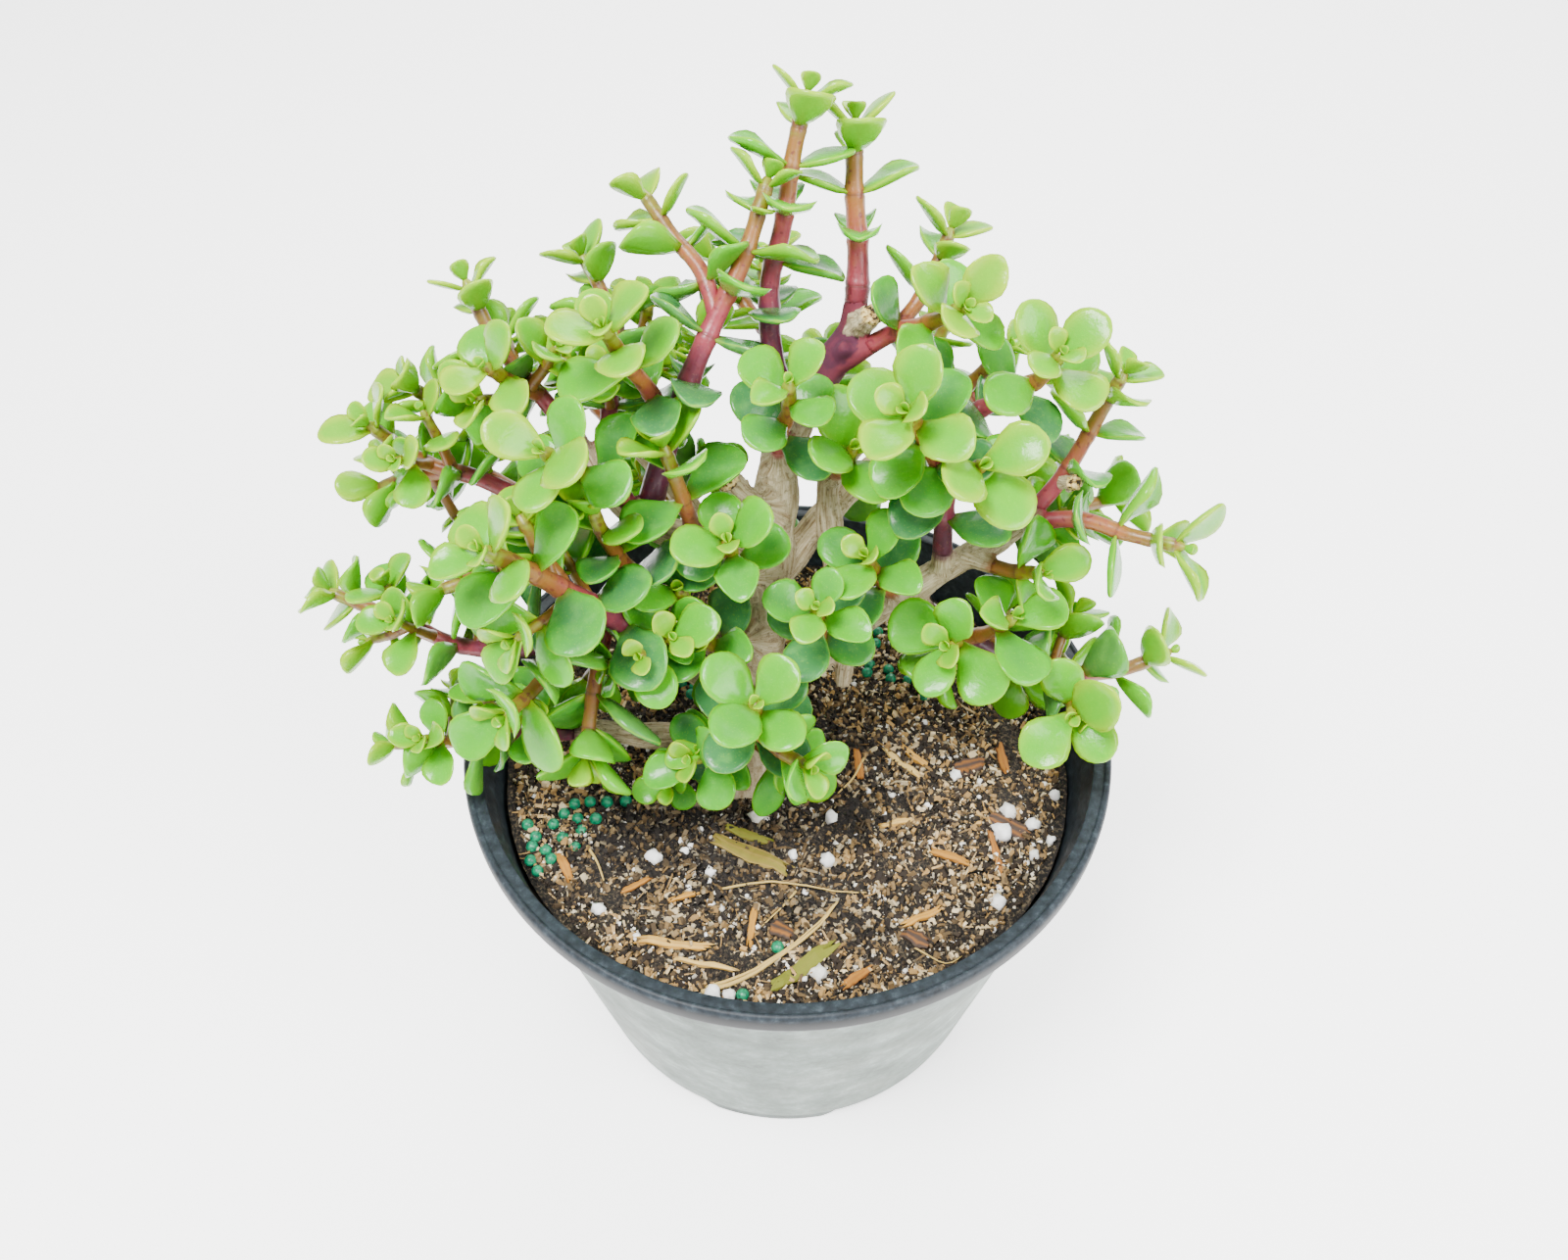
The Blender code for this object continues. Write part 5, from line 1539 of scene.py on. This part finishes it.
class BONSAI_OT_soil_bits(bpy.types.Operator):
    """Scatter bark chips, perlite grit and peat crumbs over the soil"""

    bl_idname = "bonsai.soil_bits"
    bl_label = "Bark and perlite"

    def execute(self, context):
        sizes = context.scene.bonsai_sizes
        tree = scatter_tree()
        area = math.pi * (LITTER_RADIUS * MM) ** 2
        chips = gathered("chips", [chip_mesh(*row) for row in CHIPS])
        grit = gathered("grit", [grain_mesh(*row) for row in GRIT])
        dust = gathered("dust", [chip_mesh(*row) for row in DUST])
        # Bark chips and peat crumbs darken round the trunk too, for moist mix and painted shade
        # under the crown
        bark_bits = crumbs("bark_chips", 0.88, BARK_TONES, 0.9, damp_and_shade=0.75)
        perlite = crumbs("perlite_grains", 0.9, GRIT_TONES, 1.5)
        crumb = crumbs("peat_crumbs", 0.95, PEAT_TONES, 1.2, damp_and_shade=0.75)
        # Each piece: forms, count, smallest and largest size, tilt, seed, finish and lift
        jobs = (("bark_chips", chips, sizes.chip_count, 0.25, 1.3, 0.8, 11, bark_bits, 0.4),
                ("perlite_grit", grit, sizes.grit_count, 0.15, 1.2, 3.0, 23, perlite, 0.4),
                ("peat_crumbs", dust, sizes.crumb_count, 0.5, 1.7, 3.0, 31, crumb, 0.3),
                ("bark_flecks", dust, sizes.fleck_count, 1.1, 2.7, 3.0, 47, bark_bits, 0.7))
        for name, bits, count, least, most, tilt, seed, surface, lift in jobs:
            item = linked(name, soil_patch(lift))
            run_tree(item, tree, {"Bits": bits, "Count per square metre": count / area,
                                  "Smallest": least, "Largest": most, "Tilt": tilt, "Seed": seed,
                                  "Finish": surface})
            finish_piece(baked(item, name), "potting_soil")
        for group in (chips, grit, dust):
            put_away(group)
        return {"FINISHED"}


# Flat splinters on the soil: where each starts and ends, its width and its tone, from dark brown
# through orange and straw to olive
FLAKES = (
    (-17, -27, -1, -35, 4.4, 0.82), (-15, -23, -5, -27, 2.6, 0.95), (-3, -66, 10, -56, 3.6, 1.0),
    (-35, -54, -19, -56, 2.4, 0.45), (-25, -59, -13, -62, 1.2, 0.55), (18, 1, 19, -9, 2.2, 0.12),
    (51, -24, 53, -35, 2.0, 0.10), (19, -61, 13, -66, 2.2, 0.15), (26, 1, 34, -6, 1.8, 0.60),
    (30, 3, 36, -3, 2.0, 0.40), (-57, -30, -53, -38, 2.2, 0.20), (-8, -46, -9, -55, 1.8, 0.30),
    (28, -50, 36, -46, 1.8, 0.35), (36, -30, 44, -33, 2.4, 0.25), (-40, -41, -34, -37, 1.6, 0.2),
    (56, 3, 57, -5, 2.4, 0.12), (24, -22, 32, -20, 1.6, 0.5), (-28, -44, -22, -41, 1.5, 0.35),
    (28, -52, 33, -55, 4.2, 0.0), (-4, -50, 1, -53, 4.4, 0.02), (52, -20, 60, -24, 4.6, 0.0),
    (44, -4, 51, -2, 4.8, 0.02),
)

# What a splinter's five lengthwise rows of corners add to its tone
FLAKE_STREAKS = (-0.06, 0.07, -0.04, 0.06, -0.08)

# Groups of beads and perlite beside those of the solid: kind, middle, spread and count
MORE_LUMPS = (
    ("bead", 26, 36, 10, 7), ("bead", 38, 31, 7, 6), ("bead", -52, -20, 8, 7),
    ("bead", -66, -28, 8, 7), ("bead", 37, 20, 1, 1),
    ("bead", -3, -57, 1, 1), ("bead", -11, -68, 1, 1), ("bead", 61, -39, 1, 1),
    ("bead", -24, 20, 8, 5), ("bead", -8, 24, 8, 5), ("bead", -30, 4, 6, 3),
    ("perlite", -33, -30, 1, 1), ("perlite", 60, -20, 10, 4), ("perlite", -30, -50, 22, 5),
    ("perlite", -13, -69, 2, 2), ("perlite", 69, -12, 1, 1), ("perlite", 0, -25, 14, 4),
    ("perlite", -59, -22, 1, 1), ("perlite", -46, -45, 1, 1), ("perlite", 9, -30, 2, 1),
    ("perlite", 51, -46, 2, 1),
)

# Straws on the soil: each one's radius and the places that it lies along
STRAWS = (
    (0.6, ((-20, -67), (-10, -64), (0, -57), (7, -51), (12, -44))),
    (0.4, ((-19, -66), (-9, -62.6), (1, -55.6), (8, -49), (11, -45))),
    (0.35, ((-16, -40), (-3, -39), (11, -41), (19, -41))),
    (0.3, ((2, -41), (-2, -46), (-6, -50))),
    (0.4, ((20, -2), (17, -8), (13, -12))),
    (0.25, ((30, -56), (37, -60), (41, -58))),
    (0.4, ((-50, -28), (-47, -33), (-45, -38))),
)
STRAW_TONE = 0.68


class BONSAI_OT_beads(bpy.types.Operator):
    """Lay the fertiliser beads, the large chips and perlite, and the straws on the soil"""

    bl_idname = "bonsai.beads"
    bl_label = "Beads and straws"

    def execute(self, context):
        bead = bead_resin(context.scene.bonsai_colours)
        perlite = crumbs("perlite_lumps", 0.9, PERLITE_TONES, 1.5)
        wood = crumbs("bark_splinters", 0.8, SPLINTER_TONES, 0.7)
        rng = random.Random(LITTER_SEED)
        parts = {"bead": [], "perlite": []}
        for kind, x, y, radius in soil_lumps() + more_lumps():
            parts[kind].append(self.lump(kind, x, y, radius, rng))
        for name, kind, surface in (("fertiliser_beads", "bead", bead),
                                    ("perlite_lumps", "perlite", perlite)):
            tones = [rng.random() for _ in parts[kind]]
            finish_piece(self.joined(name, parts[kind], tones, surface), "potting_soil")
        flakes = [self.flake(Vector((x0, y0)), Vector((x1, y1)), width, rng)
                  for x0, y0, x1, y1, width, _ in FLAKES]
        tones = [row[-1] for row in FLAKES]
        finish_piece(self.joined("bark_splinters", flakes, tones, wood), "potting_soil")
        straws = [self.straw(places, radius) for radius, places in STRAWS]
        tones = [STRAW_TONE] * len(straws)
        finish_piece(self.joined("straws", straws, tones, wood), "potting_soil")
        return {"FINISHED"}

    def lump(self, kind, x, y, size, rng):
        """One bead or piece of perlite in its place on the soil."""
        mesh = grain_mesh(kind, size, rng.randrange(1000), 0.02 if kind == "bead" else 0.7, 2)
        place = Vector((x, y, soil_height(x, y) + size * 0.35 + 0.6)) * MM
        mesh.transform(Matrix.Translation(place) @ Matrix.Rotation(rng.uniform(-3, 3), 4, "X"))
        return mesh

    def flake(self, start, end, width, rng):
        """A split piece of bark that lies over the soil, frayed at its ends."""
        steps = 9
        across = 5
        way = (end - start).normalized()
        side = Vector((-way.y, way.x))
        bend = rng.uniform(-0.06, 0.06) * (end - start).length
        corners = []
        for layer in (0.0, 0.7):
            for step in range(steps):
                share = step / (steps - 1)
                half = width / 2 * (0.78 + 0.22 * math.sin(math.pi * share))
                half *= rng.uniform(0.74, 1.12)
                for index in range(across):
                    reach = 2 * index / (across - 1) - 1
                    frayed = rng.uniform(-0.15, 0.15) if step in (0, steps - 1) else 0.0
                    spot = start.lerp(end, share + frayed) + side * (reach * half
                                                                     + bend * share * (1 - share))
                    rise = 1.0 + layer + 0.35 * width * 0.3 * (1 - reach * reach)
                    corners.append((spot.x, spot.y, soil_height(spot.x, spot.y) + rise))
        faces = []
        top = steps * across
        for step in range(steps - 1):
            for index in range(across - 1):
                a = step * across + index
                faces.append((a, a + across, a + across + 1, a + 1))
                faces.append((top + a, top + a + 1, top + a + across + 1, top + a + across))
        rim = [step * across for step in range(steps)]
        rim += [(steps - 1) * across + index for index in range(1, across)]
        rim += [step * across + across - 1 for step in range(steps - 2, -1, -1)]
        rim += list(range(across - 2, 0, -1))
        for a, b in zip(rim, rim[1:] + rim[:1]):
            faces.append((a, b, top + b, top + a))
        return plain_mesh("flake", corners, faces, smooth=False)

    def straw(self, places, radius):
        """A dry stalk that lies on the soil along these places."""
        points = [Vector((x, y, soil_height(x, y) + 1.3)) for x, y in places]
        axis = Axis(points, radius, radius * 0.5)
        rings = even_places(0, axis.length, 1.5)
        corners, faces = tube(axis, rings, [axis.radius(ring) for ring in rings], 7)
        for corner in corners:
            corner.z += 0.4 * noise.noise(corner * 0.3)
        return plain_mesh("straw", corners, faces)

    def joined(self, name, meshes, tones, surface):
        """One object from several meshes, each with its own tone."""
        form = bmesh.new()
        marks = []
        for mesh, tone in zip(meshes, tones):
            before = len(form.verts)
            form.from_mesh(mesh)
            streaks = FLAKE_STREAKS if name == "bark_splinters" else (0.0,)
            marks += [tone + streaks[index % len(streaks)]
                      for index in range(len(form.verts) - before)]
            bpy.data.meshes.remove(mesh)
        bmesh.ops.recalc_face_normals(form, faces=form.faces)
        mesh = made(name, form)
        carry(mesh, "tone", marks)
        mesh.materials.append(surface)
        if name != "bark_splinters":
            mesh.shade_smooth()
        return linked(name, mesh)


class BONSAI_OT_wood(bpy.types.Operator):
    """Grow the trunk, limbs, stubs and collars as one skin of bark"""

    bl_idname = "bonsai.wood"
    bl_label = "Wood"

    def execute(self, context):
        limbs = limb_axes()
        rods = [(axis, axis.length, "limb") for axis in limbs.values()]
        rods += [(axis, start, "collar") for _, axis, start, _ in plan_stems(limbs) if start]
        for thick, thin, points in CUT_STUBS:
            axis = Axis(points, thick, thin)
            rods.append((axis, axis.length, "stub"))
        form = bmesh.new()
        lines = []
        for axis, end, kind in rods:
            places = even_places(0, end, BARK_STEP)
            if kind == "collar":
                radii = [axis.radius(place) * (1.02 + (COLLAR_SWELL - 1) * (1 - place / end))
                         for place in places]
            else:
                radii = [bark_radius(axis, place) for place in places]
            corners, faces = tube(axis, places, radii, BARK_SIDES)
            mesh = plain_mesh("rod", corners, faces)
            form.from_mesh(mesh)
            bpy.data.meshes.remove(mesh)
            for place in even_places(0, end, GRAIN_STEP):
                point, direction = axis.at(place)
                lines.append((point, direction, place, axis, kind, end))
        item = linked("bark_limbs", made("bark_limbs", form))
        remesh = item.modifiers.new("skin", "REMESH")
        remesh.mode = "VOXEL"
        remesh.voxel_size = BARK_FINENESS * MM
        remesh.use_smooth_shade = True
        smooth = item.modifiers.new("soften", "SMOOTH")
        smooth.factor = 0.5
        smooth.iterations = 3
        item = baked(item, "bark_limbs")
        self.roughen(item.data, lines)
        item.data.materials.append(bark(context.scene.bonsai_colours))
        finish_piece(item, "wood_bark", "trunk")
        return {"FINISHED"}

    def roughen(self, mesh, lines):
        """Raises fibres along each limb and writes the grain that the bark is painted by."""
        tree = KDTree(len(lines))
        for index, line in enumerate(lines):
            tree.insert(line[0], index)
        tree.balance()
        grain = []
        young = []
        age = []
        cut = []
        normals = [corner.normal.copy() for corner in mesh.vertices]
        for corner, normal in zip(mesh.vertices, normals):
            place = corner.co / MM
            _, index, _ = tree.find(place)
            point, direction, reach, axis, kind, end = lines[index]
            side = first_side(direction)
            other = direction.cross(side)
            out = place - point
            around = math.atan2(out.dot(other), out.dot(side))
            fibre = Vector((math.cos(around) * 5.0, math.sin(around) * 5.0, reach * 0.16))
            grain.append(fibre + Vector((axis.root_radius, 0, 0)))
            share = (place.z - 184) / 14
            if kind == "collar":
                share = max(share, (reach - end + 3.5) / 3)
            young.append(0.0 if kind == "stub" else min(max(share, 0.0), 1.0))
            cut.append(1.0 if kind == "stub" and reach > end - 1.3 else 0.0)
            back = (axis.length - reach) / STEM_AGE_SPAN
            age.append(min(back, 1.0) if kind == "collar" else 1.0)
            ridge = noise.noise(fibre * 0.8) * 0.30 + noise.noise(place * 0.13) * 0.45
            if kind == "stub":
                ridge += noise.noise(place * 0.9) * 0.9
            corner.co += normal * ridge * (1 - YOUNG_SMOOTHNESS * young[-1]) * MM
        carry(mesh, "grain", grain, "FLOAT_VECTOR")
        carry(mesh, "young", young)
        carry(mesh, "age", age)
        carry(mesh, "cut", cut)
        mesh.shade_smooth()


# The leaf forms: each one's name, where it is broadest, how slowly it widens, its breadth, how
# full its end is, its wave and its lean, and how far its sides rise
LEAF_SHAPES = (
    ("leaf_a", 0.58, 1.00, 1.03, 2.2, 0.0, 0.0, 0.10),
    ("leaf_b", 0.66, 1.55, 1.0, 1.9, 0.02, -0.05, 0.15),
    ("leaf_c", 0.62, 1.15, 0.94, 2.0, -0.018, 0.035, 0.06),
    ("leaf_d", 0.70, 1.35, 1.03, 2.3, 0.012, 0.02, 0.12),
    ("leaf_e", 0.64, 1.45, 0.88, 1.75, 0.03, -0.02, 0.20),
)


class BONSAI_OT_shoots(bpy.types.Operator):
    """Grow every leafy shoot: stems that swell at their leaf pairs, with leaves on them"""

    bl_idname = "bonsai.shoots"
    bl_label = "Leafy shoots"

    def execute(self, context):
        colours = context.scene.bonsai_colours
        sizes = context.scene.bonsai_sizes
        leaf_skin = leaf_flesh(colours)
        stem_surface = stem_skin(colours)
        forms = gathered("leaf_forms", [leaf_mesh(*row) for row in LEAF_SHAPES])
        tree = leaves_tree()
        for name, stems in grown_stems().items():
            parts = [stem_parts(axis, max(start - 1.0, 0.0), marks)
                     for axis, start, marks, _ in stems]
            stem = linked("stem", join_stems("stem", parts, stem_surface))
            leaves = [grown for *_, found in stems for grown in found]
            piece = linked(name, leaf_points(name, leaves))
            run_tree(piece, tree, {"Stem": stem, "Leaf forms": forms,
                                   "Leaf scale": sizes.leaf_scale, "Leaf skin": leaf_skin})
            piece = baked(piece, name + "_grown")
            bpy.data.objects.remove(stem, do_unlink=True)
            finish_piece(piece, "leaf_green", name)
        put_away(forms)
        return {"FINISHED"}


# The soft lights: name, place, size and power
LIGHTS = (
    ("key", (-0.28, -0.34, 1.1), 0.36, 29.0),
    ("fill", (0.7, -0.5, 0.8), 0.6, 17.0),
    ("back", (0.2, 0.9, 0.9), 0.7, 14.0),
)


class BONSAI_OT_stage(bpy.types.Operator):
    """Set the pale floor, the soft lights and the camera"""

    bl_idname = "bonsai.stage"
    bl_label = "Studio"

    def execute(self, context):
        sizes = context.scene.bonsai_sizes
        form = bmesh.new()
        bmesh.ops.create_grid(form, x_segments=1, y_segments=1, size=3.0)
        floor = linked("floor", made("floor", form))
        floor.data.materials.append(white_paper())
        floor.location.z = -0.0005
        world = bpy.data.worlds.new("studio")
        world.use_nodes = True
        sky = world.node_tree.nodes["Background"]
        sky.inputs["Color"].default_value = (1, 1, 1, 1)
        sky.inputs["Strength"].default_value = 1.05
        context.scene.world = world
        for row in LIGHTS:
            self.light(*row)
        lens = bpy.data.cameras.new("camera")
        lens.sensor_width = 36.0
        lens.lens = 31.5
        lens.clip_start = 0.01
        camera = linked("camera", lens)
        aim = Vector((-0.0009, 0, POT_HEIGHT * MM))
        camera.location = aim + sizes.camera_distance * Vector(
            (0, -math.cos(sizes.camera_height), math.sin(sizes.camera_height)))
        camera.rotation_euler = (math.pi / 2 - sizes.camera_pitch, 0, 0)
        context.scene.camera = camera
        return {"FINISHED"}

    def light(self, name, place, size, power):
        """A soft box that looks at the plant."""
        box = bpy.data.lights.new(name, "AREA")
        box.shape = "SQUARE"
        box.size = size
        box.energy = power
        item = linked(name, box)
        item.location = place
        aim = Vector((0, 0, 0.15)) - Vector(place)
        item.rotation_euler = aim.to_track_quat("-Z", "Y").to_euler()


class BONSAI_PT_panel(bpy.types.Panel):
    """Lists the bonsai's pieces, sizes and colours"""

    bl_label = "Dwarf jade bonsai"
    bl_idname = "BONSAI_PT_panel"
    bl_space_type = "VIEW_3D"
    bl_region_type = "UI"
    bl_category = "Bonsai"

    def draw(self, context):
        for kind in OPERATORS:
            self.layout.operator(kind.bl_idname)
        for group in (context.scene.bonsai_sizes, context.scene.bonsai_colours):
            for key in group.__annotations__:
                self.layout.prop(group, key)


OPERATORS = (BONSAI_OT_pot, BONSAI_OT_soil, BONSAI_OT_soil_bits, BONSAI_OT_beads, BONSAI_OT_wood,
             BONSAI_OT_shoots, BONSAI_OT_stage)
CLASSES = (BonsaiColours, BonsaiSizes) + OPERATORS + (BONSAI_PT_panel,)


def register():
    for kind in CLASSES:
        bpy.utils.register_class(kind)
    bpy.types.Scene.bonsai_colours = bpy.props.PointerProperty(type=BonsaiColours)
    bpy.types.Scene.bonsai_sizes = bpy.props.PointerProperty(type=BonsaiSizes)


def unregister():
    del bpy.types.Scene.bonsai_sizes
    del bpy.types.Scene.bonsai_colours
    for kind in reversed(CLASSES):
        bpy.utils.unregister_class(kind)


def main():
    register()
    bpy.ops.bonsai.pot()
    bpy.ops.bonsai.soil()
    bpy.ops.bonsai.soil_bits()
    bpy.ops.bonsai.beads()
    bpy.ops.bonsai.wood()
    bpy.ops.bonsai.shoots()
    bpy.ops.bonsai.stage()


if __name__ == "__main__":
    main()
